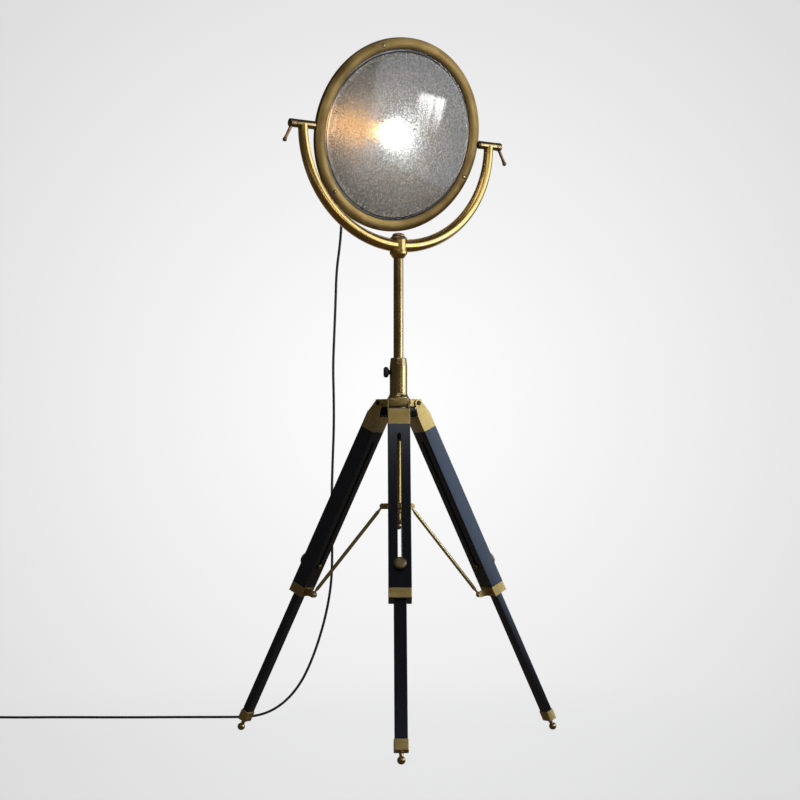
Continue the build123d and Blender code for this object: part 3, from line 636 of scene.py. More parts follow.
def finishNode(name, material, bevel=0.5):
    part = nodes[name]
    part.data.materials.clear()
    part.data.materials.append(material)
    if "custom_normal" in part.data.attributes:
        part.data.attributes.remove(part.data.attributes["custom_normal"])
    part.data.shade_smooth()
    weld = part.modifiers.new("weld", "WELD")
    weld.merge_threshold = finish["weld"]
    flat = part.modifiers.new("flat", "DECIMATE")
    flat.decimate_type = "DISSOLVE"
    flat.angle_limit = math.radians(finish["flat"])
    edges = part.modifiers.new("edges", "BEVEL")
    edges.width = bevel * mm
    edges.segments = finish["segments"]
    edges.limit_method = "ANGLE"
    edges.angle_limit = math.radians(finish["edgeAngle"])
    edges.harden_normals = True
    return part


# Cord: one NURBS line from the gland to the plug, cut where the joints move it
cord = {"diameter": 6, "sides": 14, "smoothness": 8, "sharp": 60, "firstRun": 22, "glandEnd": -185,
        "floorLay": 3.2, "coilLay": 4.0, "coilPitch": 6.7, "coilStart": 36.5, "turnIn": 24, "turnOut": 30,
        "plugLead": 36, "turnSteps": 14, "halvesIn": 4, "layers": (0, 0, 0, 0, 1, 1, 1),
        "cuts": (1100, 450, 75), "stiffPart": 5}


def cordRoute():
    mouth = (headFrame @ Vector((0, 0, cord["glandEnd"] * mm)) - axisFoot) / mm
    first = (headFrame @ Vector((0, 0, (cord["glandEnd"] - cord["firstRun"]) * mm)) - axisFoot) / mm
    low, coil = cord["floorLay"], cord["coilLay"]
    route = [tuple(mouth), tuple(first), (-119.9, 187.5, 1378.6), (-128.5, 201, 1359.4),
             (-132.9, 207.9, 1324.4), (-132, 212, 1270), (-128, 215, 1196), (-132, 219, 1124),
             (-141, 224, 1060), (-143, 228, 985), (-146, 233, 910), (-149, 240, 835), (-147, 248, 760),
             (-147, 256, 690), (-150, 265, 615), (-152, 275, 545), (-152, 286, 470), (-151, 300, 400),
             (-153, 318, 335), (-163, 333, 270), (-180, 352, 205), (-202, 374, 142), (-228, 396, 88),
             (-263, 417, 45), (-303, 437, 17), (-347, 450, low + 1), (-408, 456, low), (-470, 456, low),
             (-540, 456, low), (-612, 453, low), (-686, 453, low), (-760, 457, low), (-834, 458, low),
             (-904, 454, low), (-955, 452, coil), (-1006, 452, coil)]
    return route + coilRoute(route[-1])


def coilRoute(mouth):
    pitch, start, layers = cord["coilPitch"], cord["coilStart"], cord["layers"]
    radii = [start - half * pitch / 2 for half in range(cord["halvesIn"])]
    radii += [cord["turnIn"], cord["turnOut"], cord["turnOut"] + pitch / 2]
    centre = Vector((mouth[0] - cord["diameter"], mouth[1] - start, mouth[2]))
    perHalf = cord["turnSteps"] // 2
    outward = 1 / math.cos(math.pi / cord["turnSteps"])  # the line cuts inside its control points
    points = []
    for half in range(len(radii) - 1):
        for step in range(perHalf):
            share = (step + 0.5) / perHalf
            angle = math.pi / 2 + math.pi * (half + share)
            radius = (radii[half] + (radii[half + 1] - radii[half]) * share) * outward
            layer = layers[half] + (layers[half + 1] - layers[half]) * share
            spot = Vector((radius * math.cos(angle), radius * math.sin(angle), layer * pitch))
            points.append(tuple(centre + spot))
    side = 1 if len(radii) % 2 else -1
    end = centre + Vector((0, side * radii[-1], layers[-1] * pitch))
    points.append(tuple(end - Vector((cord["plugLead"] / 3, 0, 0))))
    points.append(tuple(end - Vector((cord["plugLead"], 0, 0))))
    return points


def nurbsLine(name, route):
    curve = bpy.data.curves.new(name, "CURVE")
    curve.dimensions = "3D"
    curve.resolution_u = cord["smoothness"]
    spline = curve.splines.new("NURBS")
    spline.points.add(len(route) - 1)
    for point, place in zip(spline.points, route):
        point.co = (*(axisFoot + Vector(place) * mm), 1)
    spline.order_u = 3
    spline.use_endpoint_u = True
    holder = bpy.data.objects.new(name, curve)
    line = [vertex.co.copy() for vertex in bpy.data.meshes.new_from_object(holder).vertices]
    bpy.data.objects.remove(holder)
    return line


def lengthOf(line):
    return sum((after - before).length for before, after in zip(line, line[1:]))


def cutLine(line):
    pieces, rest = [], line
    for height in cord["cuts"]:
        spot = next(index for index, point in enumerate(rest) if point.z < height * mm)
        pieces.append(rest[:spot + 1])
        rest = rest[spot:]
    return pieces + [rest]


cordLine = nurbsLine("cordRoute", cordRoute())
cordPieces = {}
for name, line in zip(("cordHead", "cordYoke", "cordPost", "cordFloor"), cutLine(cordLine)):
    bm = tube(line, [cord["diameter"] / 2 * mm] * len(line), cord["sides"])
    body = "stand" if name == "cordFloor" else None
    cordPieces[name] = (addPiece(name, bm, blackFlex, body, sharp=cord["sharp"]), line)
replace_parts(cordPieces["cordPost"][0], "cord_hanging")
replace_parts(cordPieces["cordFloor"][0], "cord_floor", "cord_coil")
for name, upper, lower in (
        ("cordHead", "head", "yoke"), ("cordYoke", "yoke", "post"), ("cordPost", "post", "stand")):
    piece, line = cordPieces[name]
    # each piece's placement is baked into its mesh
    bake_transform(piece)
print("cord laid:", round(lengthOf(cordLine), 3), "m")

# Bezel ring with a crowned face
bezel = {"outer": 215, "inner": 190, "front": 5, "back": -6, "wall": 3, "crown": 1.9, "crownSteps": 12,
         "innerEdges": (0.4, 0.8), "outerEdges": (2.4, 1.0, 0.5, 0.8), "edgeSteps": 5, "facets": 200}


def bezelRing():
    inner, outer, front, back = bezel["inner"], bezel["outer"], bezel["front"], bezel["back"]
    wallIn, ledge = outer - bezel["wall"], front - bezel["wall"]
    crown = []
    for share in shares(bezel["crownSteps"]):
        crown.append((inner + (outer - inner) * share, front - bezel["crown"] * (2 * share - 1) ** 2))
    profile = [(inner, ledge), *crown, (outer, back), (wallIn, back), (wallIn, ledge)]
    sizes = [*bezel["innerEdges"], *[0] * (bezel["crownSteps"] - 1), *bezel["outerEdges"]]
    profile = roundOff(profile, sizes, closed=True, steps=bezel["edgeSteps"])
    bm = turn(profile, bezel["facets"], closed=True)
    addPiece("bezelRing", bm, ringBrass, "head", headFrame, "bezel_ring")


# Bezel screws, each on a black disc that is painted shade standing in for its recess
screws = {"circle": 203, "angles": (110.5, 223, 338), "radius": 3.6, "height": 2.2, "slot": 1.1,
          "slotDepth": 1, "slotAngle": 35, "slotStep": 70, "seat": 5.2, "shadeDiscRise": 0.1, "shadeDiscSink": -0.4,
          "facets": 28}


def bezelScrews():
    bm, shadeDiscs = bmesh.new(), bmesh.new()
    cutters = []
    rise, wide = screws["shadeDiscRise"], screws["seat"]
    for index, degrees in enumerate(screws["angles"]):
        angle = math.radians(degrees)
        spot = Vector((screws["circle"] * math.cos(angle), screws["circle"] * math.sin(angle),
                       bezel["front"]))
        place = Matrix.Translation(spot * mm)
        slottedHead(bm, screws, place)
        # painted shade: a black disc around each screw head
        turn([(0, rise), (wide, rise), (wide, screws["shadeDiscSink"])], screws["facets"], place=place, into=shadeDiscs)
        cutters.append(slotCutter(screws, headFrame @ place,
                                  screws["slotAngle"] + screws["slotStep"] * index))
    addPiece("screwShadeDiscs", shadeDiscs, blackSteel, "head", headFrame)
    piece = addPiece("bezelScrews", bm, tubeBrass, "head", headFrame)
    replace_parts(carve(piece, cutters), "bezel_screws")


# Lens: a flat dome with a round shoulder, its back hammered into dimples
lens = {"rim": 194.5, "seat": 0.5, "edge": 0.6, "body": 187, "apex": 20.5, "crown": 12, "shoulder": 12,
        "thick": 5, "shoulderSteps": 8, "frontRings": 24, "backRings": 120, "facets": 420, "cell": 5.5,
        "depth": 0.55, "level": 0.45, "sharp": 70}


def lensProfile(inset, rings):
    corner, shoulder = lens["body"] - lens["shoulder"], lens["shoulder"]
    sphere = (lens["body"] ** 2 + lens["crown"] ** 2) / (2 * lens["crown"])
    middle = lens["apex"] - sphere
    lean = math.asin(corner / (sphere - shoulder))
    cornerHeight = middle + (sphere - shoulder) * math.cos(lean)
    points = []
    for ring in range(rings + 1):
        angle = lean * ring / rings
        points.append(((sphere - inset) * math.sin(angle), middle + (sphere - inset) * math.cos(angle)))
    last = math.pi / 2 if inset else math.acos((lens["seat"] - cornerHeight) / shoulder)
    for step in range(1, lens["shoulderSteps"] + 1):
        angle = lean + (last - lean) * step / lens["shoulderSteps"]
        points.append((corner + (shoulder - inset) * math.sin(angle),
                       cornerHeight + (shoulder - inset) * math.cos(angle)))
    return points


def lensGlass():
    thick, rim, seat, edge = lens["thick"], lens["rim"], lens["seat"], lens["edge"]
    under = seat - thick
    border = [(rim - edge, seat), (rim, seat - edge), (rim, under + edge), (rim - edge, under),
              (lens["body"] - thick, under)]
    profile = lensProfile(0, lens["frontRings"]) + border + lensProfile(thick, lens["backRings"])[::-1]
    bm = turn(profile, lens["facets"])
    hammered = lens["body"] - lens["shoulder"] / 2
    back = set()
    for vert in bm.verts:
        radius = math.hypot(vert.co.x, vert.co.y) / mm
        middle = lens["apex"] - thick / 2 - lens["crown"] * (radius / lens["body"]) ** 2
        if radius < hammered and vert.co.z / mm < middle:
            near = noise.voronoi(vert.co / (lens["cell"] * mm))[0]
            vert.co.z += (lens["level"] - near[0]) * 2 * lens["depth"] * mm
            back.add(vert)
    for face in bm.faces:
        face.material_index = 1 if all(vert in back for vert in face.verts) else 0
    piece = addPiece("lensGlass", bm, clearGlass, "head", headFrame, "lens_glass", lens["sharp"])
    piece.data.materials.append(hammeredGlass)


# Bowl, drawn in the room's frame so that its box stays true
bowl = {"radius": 205, "depth": 134, "wall": 1.2, "flange": 2, "pole": 8, "lip": 0.5, "steps": 48,
        "facets": 180}
bowlBack = bezel["back"] - bowl["flange"] - bowl["depth"]


def bowlProfile(inset):
    sphere = (bowl["radius"] ** 2 + bowl["depth"] ** 2) / (2 * bowl["depth"])
    rim, pole = math.asin(bowl["radius"] / sphere), math.asin(bowl["pole"] / sphere)
    points = []
    for step in range(bowl["steps"] + 1):
        angle = rim + (pole - rim) * step / bowl["steps"]
        points.append(((sphere - inset) * math.sin(angle),
                       bowlBack + sphere - (sphere - inset) * math.cos(angle)))
    return points


def headBowl():
    outer, inner = bezel["outer"] - bezel["wall"], bezel["inner"]
    back, front = bezel["back"] - bowl["flange"], bezel["back"]
    shell = [(inner, front), (outer, front), (outer, back), *bowlProfile(0),
             *reversed(bowlProfile(bowl["wall"])), (inner, back + bowl["lip"])]
    bm = turn(shell, bowl["facets"], closed=True, place=headFrame)
    addPiece("headBowl", bm, bowlBrass, "head", node="head_bowl")


# Reflector dish whose flange and outer rim are black: painted shade for the dark gap between bezel and lens
dish = {"rim": 188, "base": 22, "back": -5.7, "floor": -89, "curve": 1.9, "flange": 6, "wall": 1.2,
        "paintedShadeRim": 2, "steps": 48, "facets": 160}


def reflector():
    rim, base, back, floor, wall = (dish[key] for key in ("rim", "base", "back", "floor", "wall"))
    face = []
    for share in shares(dish["steps"]):
        face.append((base + (rim - base) * share, floor + (back - floor) * share ** dish["curve"]))
    lip = rim + dish["flange"]
    behind = [(radius, height - wall) for radius, height in reversed(face)]
    shell = [*face, (lip, back), (lip, back - wall), *behind]
    bm = turn(shell, dish["facets"], closed=True)
    piece = addPiece("reflector", bm, mirrorDish, "head", headFrame, "reflector")
    piece.data.materials.append(blackRubber)
    # painted shade: faces beyond the rim's inner edge get black rubber
    for part in piece.data.polygons:
        part.material_index = 1 if part.center.xy.length > (rim - dish["paintedShadeRim"]) * mm else 0


# Bulb
bulb = {"radius": 32, "centre": -18.47, "neck": 13.3, "seat": -90.47, "ballFrom": -36, "steps": 24,
        "facets": 64, "neckShape": ((0, 0), (1, 0), (1, 6), (1.1, 22), (1.32, 38))}


def bulbGlass():
    profile = scaled(bulb["neckShape"], bulb["neck"], 1, bulb["seat"])
    profile += ballArc(bulb["radius"], bulb["centre"], bulb["ballFrom"], 90, bulb["steps"])
    addPiece("bulbGlass", turn(profile, bulb["facets"]), litBulb, "head", headFrame, "bulb_glass")


# Cable gland: a hexagon nut and a ribbed taper
gland = {"nutRadius": 13, "nut": 8, "nutEdge": 1, "nutFoot": 1.2, "root": 0.75, "tip": 5, "ribs": 7,
         "facets": 40, "ribShape": ((0.1, 0), (0.6, 0), (0.7, 1.0), (0.95, 1.0)), "sharp": 30}


def cableGland():
    wide, edge = gland["nutRadius"], gland["nutEdge"]
    under, end = bowlBack - gland["nut"], cord["glandEnd"]
    nut = [(0, bowlBack), (wide - edge, bowlBack), (wide, bowlBack - edge), (wide, under + edge),
           (wide - gland["nutFoot"], under), (0, under)]
    bm = turn(nut, 6)
    root, tip = gland["root"] * wide, gland["tip"]
    taper = [(0, under + edge), (root, under + edge)]
    for rib in range(gland["ribs"]):
        for share, depth in gland["ribShape"]:
            spot = (rib + share) / gland["ribs"]
            taper.append((root + (tip - root) * spot - depth, under - (under - end) * spot))
    taper += [(tip, end), (cord["diameter"] / 2, end)]
    turn(taper, gland["facets"], into=bm)
    addPiece("cableGland", bm, blackPlastic, "head", headFrame, "cable_gland",
             gland["sharp"])


bezelRing()
bezelScrews()
lensGlass()
headBowl()
reflector()
bulbGlass()
cableGland()
finishNode("lens_gasket", blackRubber, 0.2)
finishNode("lamp_holder", blackPlastic)
finishNode("holder_bracket", paleSteel)
finishNode("bulb_cap", paleSteel)
finishNode("inner_lead", blackFlex, 0.1)
finishNode("pivot_pins", darkBronze, 0.3)
print("head built")

# Yoke: a half circle of tube, thickest below
yoke = {"radius": 247, "midRadius": 14.7, "tipRadius": 10.6, "rings": 128, "sides": 48}


def yokeTube():
    centres, radii = [], []
    for share in shares(yoke["rings"]):
        angle = math.pi * (1 + share)
        outward = abs(2 * share - 1)
        centres.append(yokeFrame @ (Vector((math.cos(angle), 0, math.sin(angle))) * yoke["radius"] * mm))
        radii.append((yoke["midRadius"] + (yoke["tipRadius"] - yoke["midRadius"]) * outward) * mm)
    bm = tube(centres, radii, yoke["sides"])
    addPiece("yokeTube", bm, yokeBrass, "yoke", node="yoke_tube")


# Pivot barrels at the yoke's two ends
barrel = {"radius": 9.4, "bore": 4.1, "inner": 219.5, "outer": 266, "edge": 0.9, "facets": 48}


def pivotBarrels():
    radius, bore, inner, outer = barrel["radius"], barrel["bore"], barrel["inner"], barrel["outer"]
    profile = [(bore, inner), (radius, inner), (radius, outer), (bore, outer)]
    profile = roundOff(profile, barrel["edge"], closed=True)
    bm = bmesh.new()
    for way in (1, -1):
        turn(profile, barrel["facets"], closed=True, place=quarterTurn("Y", way), into=bm)
    addPiece("pivotBarrels", bm, tubeBrass, "yoke", yokeFrame, "pivot_barrels")


# Swivel: cup under the tube, saddle washer on it and the dome nut
swivel = {"fit": 0.3, "cupFoot": 12, "cupRadius": 19.4, "cupHeight": 17, "cupSlope": 0.6, "neck": 17.5,
          "neckStep": 0.8, "cupEdge": 1.0, "seat": 14, "saddleSink": 1, "saddleHeight": 7,
          "saddleSide": 0.3, "saddleLip": 1, "saddleEdge": 1.6, "domeRadius": 13.8, "domeHeight": 8,
          "domeSide": 1.6, "domeSteps": 12, "facets": 72, "domeFacets": 64}


def swivelJoint():
    low = postHigh.z / mm + swivel["fit"]
    high = pivot.z / mm - yoke["radius"] + swivel["seat"]
    wide, neck, cupTop = swivel["cupRadius"], swivel["neck"], low + swivel["cupHeight"]
    cup = [(0, low), (swivel["cupFoot"], low), (wide, low + swivel["cupSlope"] * swivel["cupHeight"]),
           (wide, cupTop), (neck, cupTop + swivel["neckStep"]), (neck, high), (0, high)]
    bm = turn(roundOff(cup, swivel["cupEdge"]), swivel["facets"])
    addPiece("swivelCup", bm, yokeBrass, "yoke", axisFrame, "swivel_cup")
    sunk, top, radius = high - swivel["saddleSink"], high + swivel["saddleHeight"], swivel["domeRadius"]
    saddle = [(0, sunk), (wide, sunk), (wide, high + swivel["saddleSide"] * swivel["saddleHeight"]),
              (radius + swivel["saddleLip"], top), (0, top)]
    bm = turn(roundOff(saddle, swivel["saddleEdge"]), swivel["facets"])
    addPiece("saddleWasher", bm, agedBrass, "yoke", axisFrame, "saddle_washer")
    base, side = top + swivel["fit"], swivel["domeSide"]
    rise = swivel["domeHeight"] - swivel["fit"] - side
    dome = [(0, base), (radius, base)] + ballArc(radius, base + side, 0, 90, swivel["domeSteps"], rise)
    bm = turn(dome, swivel["domeFacets"])
    addPiece("swivelFinial", bm, tubeBrass, "post", axisFrame, "swivel_finial")


# Tilt levers: a cap on each pivot and a leaning handle with a ball
lever = {"end": 280, "at": 273, "lean": 27, "length": 42, "ball": 5, "capEdge": 1.2, "dishRim": 4.6,
         "dish": 4.0, "dishDepth": 1.0, "shape": ((3, 4.2), (9, 4.0), (11, 3.6), (30, 3.3), (39, 3.8)),
         "sides": 20}


def tiltLever(side, way):
    start, end, radius = barrel["outer"] + swivel["fit"], lever["end"], barrel["radius"]
    dished = end - lever["dishDepth"]
    profile = [(barrel["bore"], start), (radius, start), (radius, end), (lever["dishRim"], end),
               (lever["dish"], dished), (0, dished)]
    bm = turn(roundOff(profile, lever["capEdge"]), barrel["facets"], place=quarterTurn("Y", way))
    lean = math.radians(lever["lean"])
    reach = Vector((way * math.sin(lean), 0, -math.cos(lean)))
    root = Vector((way * lever["at"], 0, 0))
    centres = [(root + reach * along) * mm for along, _ in lever["shape"]]
    tube(centres, [thick * mm for _, thick in lever["shape"]], lever["sides"], into=bm)
    tip = (root + reach * lever["length"]) * mm
    bmesh.ops.create_uvsphere(bm, u_segments=24, v_segments=16, radius=lever["ball"] * mm,
                              matrix=Matrix.Translation(tip))
    piece = addPiece("tiltLever_" + side, bm, leverBronze, "lever_" + side, yokeFrame,
                     "tilt_lever_" + side)
    # painted shade: the outward end faces get black enamel, standing in for the dark seen on the end cap
    paintFaces(piece.data, blackEnamel, Vector((way, 0, 0)))


yokeTube()
pivotBarrels()
swivelJoint()
tiltLever("right", 1)
tiltLever("left", -1)
print("yoke built")

# Post
post = {"radius": 11, "edge": 0.6, "facets": 72}


def levelsOf(node):
    return [corner.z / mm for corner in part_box(node)]


def postTube():
    low, high = postLow.z / mm, postHigh.z / mm
    profile = [(0, low), (post["radius"], low), (post["radius"], high), (0, high)]
    bm = turn(roundOff(profile, post["edge"]), post["facets"])
    addPiece("postTube", bm, tubeBrass, "post", axisFrame, "post_tube")


# Sleeve, flared at its foot and tapered at its mouth
sleeve = {"base": 23.6, "radius": 19.4, "mouth": 17, "fit": 0.1, "baseRise": 1.6, "flare": 13,
          "flareCurve": 2.2, "flareSteps": 10, "taper": 18, "mouthOut": 0.6, "mouthDrop": 3,
          "baseEdges": (0, 0.5, 0.5), "mouthEdges": (3, 2, 1.2, 0), "facets": 84}


def flaredSleeve():
    low, high = levelsOf("sleeve")
    bore, base = post["radius"] + sleeve["fit"], sleeve["base"]
    radius, mouth = sleeve["radius"], sleeve["mouth"]
    rise, steps = sleeve["baseRise"], sleeve["flareSteps"]
    profile = [(bore, low), (base, low), (base, low + rise)]
    for share in shares(steps)[1:]:
        profile.append((radius + (base - radius) * (1 - share) ** sleeve["flareCurve"],
                        low + rise + (sleeve["flare"] - rise) * share))
    profile += [(radius, high - sleeve["taper"]), (mouth + sleeve["mouthOut"], high - sleeve["mouthDrop"]),
                (mouth, high), (bore, high)]
    sizes = [*sleeve["baseEdges"], *[0] * steps, *sleeve["mouthEdges"]]
    bm = turn(roundOff(profile, sizes), sleeve["facets"])
    addPiece("sleeve", bm, tubeBrass, "stand", axisFrame, "sleeve")


# Thumb screw
thumb = {"radius": 12, "length": 13.4, "start": 19.7, "shank": 4, "fit": 0.3, "edge": 1.4, "lobes": 14,
         "lobeDepth": 0.06, "lobesFrom": 0.8, "facets": 112,
         "shape": ((0.5, 0), (0.45, 0.1), (0.8, 0.2), (1, 0.42), (1, 0.78), (0.7, 1), (0, 1))}


def thumbScrew():
    low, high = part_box("thumb_screw")
    place = Matrix.Translation((axisFoot.x, axisFoot.y, (low.z + high.z) / 2)) @ quarterTurn("Y", -1)
    root, wide = post["radius"] + thumb["fit"], thumb["radius"]
    profile = [(0, root), (thumb["shank"], root), (thumb["shank"], thumb["start"])]
    profile += scaled(thumb["shape"], wide, thumb["length"], thumb["start"])
    lobes = flutes(thumb["lobes"], thumb["lobeDepth"], thumb["lobesFrom"] * wide)
    bm = turn(roundOff(profile, thumb["edge"]), thumb["facets"], wobble=lobes)
    addPiece("thumbScrew", bm, blackPlastic, "thumb_screw", place, "thumb_screw")


# Hub: a round body with three square lugs
hub = {"radius": 25, "socket": 18, "edge": 1.0, "hinge": 38, "lugHeight": 8.6, "lugWidth": 42.5,
       "lugEdge": 1.6, "lugEnd": ((0.9, 0), (0.3, 0.3), (0, 0.9)), "facets": 72}


def hubCasting():
    hinge = joints["leg_front_fold"]["pos_m"][2] / mm
    low, high, under = hinge - hub["lugHeight"], levelsOf("sleeve")[0], levelsOf("hub")[0]
    body = [(0, under), (hub["socket"], under), (hub["socket"], low), (hub["radius"], low),
            (hub["radius"], high), (0, high)]
    bm = turn([(radius, level - hinge) for radius, level in roundOff(body, hub["edge"])], hub["facets"])
    end = hub["hinge"] + hub["lugHeight"]
    stations = [(0, 0)] + [(end - short, inset) for short, inset in hub["lugEnd"]]
    for side in legSides:
        sideways = legFrame(side).to_3x3().col[0]
        place = frameAt(Vector((0, 0, 0)), sideways, up.cross(sideways))
        roundedBar(hub["lugWidth"], 2 * hub["lugHeight"], hub["lugEdge"], stations, place, into=bm)
    addPiece("hub", bm, satinBrass, "stand", axisFrame @ Matrix.Translation((0, 0, hinge * mm)),
             "hub")


# Hinge pins with a slotted head at each end
pins = {"half": 24.75, "shank": 3, "radius": 5, "height": 1.6, "slot": 1.5, "slotDepth": 1.5, "slotAngle": 40,
        "sides": 24}


def hingePins():
    bm = bmesh.new()
    cutters = []
    half = pins["half"] * mm
    for side in legSides:
        place = legFrame(side)
        ends = [place @ Vector((way * half, 0, 0)) for way in (-1, 1)]
        tube(ends, [pins["shank"] * mm] * 2, pins["sides"], into=bm)
        for way in (1, -1):
            seat = place @ Matrix.Translation((way * half, 0, 0)) @ quarterTurn("Y", way)
            slottedHead(bm, pins, seat)
            cutters.append(slotCutter(pins, seat, pins["slotAngle"]))
    piece = addPiece("hingePins", bm, blackSteel, "stand")
    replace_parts(carve(piece, cutters), "hinge_pins")


# Centre tube and the finial at its lower end
stem = {"radius": 13, "rim": 2, "rimHeight": 5, "bead": 9, "beadDrop": 7, "neckIn": 2, "neckDrop": 11,
        "knob": 0.9, "knobDrop": 0.7, "knobFrom": 58, "knobSteps": 16, "edges": (0, 1.2, 1.2, 0.6),
        "facets": 64, "finialFacets": 56}


def centreTube():
    low, high = levelsOf("centre_tube")
    radius, bead, neck = stem["radius"], stem["bead"], low - stem["neckDrop"]
    bm = turn([(0, low), (radius, low), (radius, high), (0, high)], stem["facets"])
    addPiece("centreTube", bm, tubeBrass, "stand", axisFrame, "centre_tube")
    wide = radius + stem["rim"]
    profile = [(0, low), (wide, low), (wide, low - stem["rimHeight"]), (bead, low - stem["beadDrop"]),
               (bead - stem["neckIn"], neck)]
    centre = neck - stem["knobDrop"] * bead
    profile += ballArc(stem["knob"] * bead, centre, stem["knobFrom"], -90, stem["knobSteps"])[1:]
    sizes = [*stem["edges"], *[0] * (len(profile) - len(stem["edges"]))]
    bm = turn(roundOff(profile, sizes), stem["finialFacets"])
    addPiece("tubeFinial", bm, tubeBrass, "stand", axisFrame, "tube_finial")


postTube()
flaredSleeve()
thumbScrew()
hubCasting()
hingePins()
centreTube()
finishNode("swivel_stud", paleSteel, 0.3)
finishNode("spreader", satinBrass, 0.4)
print("column built")

# Clamp knobs with their bolts and nuts
knob = {"radius": 14, "height": 12, "edge": 1.2, "flutes": 16, "depth": 0.045, "flutesFrom": 0.93,
        "seat": 17.3, "station": 400, "bolt": 3.2, "boltIn": 1, "nutRadius": 6.5, "nut": 5, "nutEdge": 0.8,
        "facets": 128, "boltSides": 28, "nutFacets": 40,
        "nutShape": ((0, 0), (1, 0), (1, 0.5), (0.7, 1), (0, 1)),
        "shape": ((0, 0), (0.7, 0), (0.7, 0.2), (0.95, 0.28), (1, 0.4), (1, 0.62), (0.9, 0.84),
                  (0.55, 0.97), (0, 1))}


def legKnob(side):
    wide, seat = knob["radius"], knob["seat"]
    face = Matrix.Translation((0, seat * mm, -knob["station"] * mm)) @ quarterTurn("X", -1)
    cut = flutes(knob["flutes"], knob["depth"], knob["flutesFrom"] * wide)
    profile = roundOff(scaled(knob["shape"], wide, knob["height"]), knob["edge"])
    bm = turn(profile, knob["facets"], place=face, wobble=cut)
    ends = [face @ Vector((0, 0, -depth * mm)) for depth in (-knob["boltIn"], 2 * seat + knob["nut"] / 2)]
    tube(ends, [knob["bolt"] * mm] * 2, knob["boltSides"], into=bm)
    back = face @ Matrix.Translation((0, 0, -2 * seat * mm)) @ Matrix.Rotation(math.pi, 4, "X")
    nut = roundOff(scaled(knob["nutShape"], knob["nutRadius"], knob["nut"]), knob["nutEdge"])
    turn(nut, knob["nutFacets"], place=back, into=bm)
    addPiece("legKnob_" + side, bm, knobBronze, "knob_" + side, legFrame(side), "leg_knob_" + side)


# Ferrules and ball feet, cut level at the floor
ferrule = {"width": 30.5, "depth": 19.5, "edge": 2, "top": 780, "bottom": 804, "topBevel": 0.5,
           "bottomBevel": 1}
foot = {"reach": 822, "ball": 8.5, "collar": 6.5, "collarDrop": 1.5, "neck": 4.2, "neckDrop": 5,
        "ballFrom": 58, "steps": 20, "edges": (0, 0.4, 0.6, 1.5), "facets": 48}


def legTip(side):
    place = legFrame(side)
    top, bottom = -ferrule["top"], -ferrule["bottom"]
    topBevel, bottomBevel = ferrule["topBevel"], ferrule["bottomBevel"]
    stations = [(top, topBevel), (top - topBevel, 0), (bottom + bottomBevel, 0), (bottom, bottomBevel)]
    bm = roundedBar(ferrule["width"], ferrule["depth"], ferrule["edge"], stations, place)
    addPiece("legFerrule_" + side, bm, satinBrass, "shin_" + side, node="leg_ferrule_" + side)
    profile = [(0, bottom), (foot["collar"], bottom), (foot["collar"], bottom - foot["collarDrop"]),
               (foot["neck"], bottom - foot["neckDrop"])]
    profile += ballArc(foot["ball"], -foot["reach"], foot["ballFrom"], -90, foot["steps"])
    sizes = [*foot["edges"], *[0] * (foot["steps"] + 1)]
    bm = turn(roundOff(profile, sizes), foot["facets"], place=place)
    everything = bm.verts[:] + bm.edges[:] + bm.faces[:]
    cut = bmesh.ops.bisect_plane(bm, geom=everything, plane_co=(0, 0, 0), plane_no=(0, 0, 1),
                                 clear_inner=True)
    border = [edge for edge in cut["geom_cut"] if isinstance(edge, bmesh.types.BMEdge)]
    bmesh.ops.contextual_create(bm, geom=border)
    addPiece("foot_" + side, bm, tubeBrass, "shin_" + side, node="foot_" + side)


# Braces: a rod with a flattened neck and an eye at each end
brace = {"radius": 4.1, "flat": 2.45, "flatFrom": 5, "flatTo": 12, "roundFrom": 19, "eye": 6.5, "eyeThick": 5,
         "eyeEdge": 0.7, "offset": 8.3, "reachIn": 35.7, "riseIn": 16, "sides": 24, "eyeFacets": 36}


def legBrace(side):
    low = Vector(joints["brace_" + side + "_swing"]["pos_m"])
    out = outwardFrom(low)
    high = axisFoot + out * brace["reachIn"] * mm + up * (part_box("spreader")[0].z + brace["riseIn"] * mm)
    sideways = up.cross(out)
    length = (high - low).length / mm
    place = frameAt(low + sideways * brace["offset"] * mm, sideways, (high - low).normalized())
    flat = brace["flat"]
    ends = [(brace["flatFrom"], flat), (brace["flatTo"], flat), (brace["roundFrom"], brace["radius"])]
    stations = ends + [(length - along, radius) for along, radius in reversed(ends)]
    centres = [place @ Vector((0, 0, along * mm)) for along, _ in stations]
    bm = tube(centres, [radius * mm for _, radius in stations], brace["sides"])
    half, wide = brace["eyeThick"] / 2, brace["eye"]
    eye = roundOff([(0, -half), (wide, -half), (wide, half), (0, half)], brace["eyeEdge"])
    for along in (0, length):
        spot = place @ Matrix.Translation((0, 0, along * mm)) @ quarterTurn("Y")
        turn(eye, brace["eyeFacets"], place=spot, into=bm)
    addPiece("legBrace_" + side, bm, braceBrass, "brace_" + side, node="brace_" + side)


def paintShadeInside(part, place):
    # painted shade: the faces of the two ears that look at each other get black steel, standing in for the
    # shade between them
    sideways = place.to_3x3().col[0]
    part.data.materials.append(blackSteel)
    for face in part.data.polygons:
        offset = sideways.dot(part.matrix_world @ face.center - place.translation)
        if sideways.dot(face.normal) * math.copysign(1, offset) < -0.9:
            face.material_index = 1


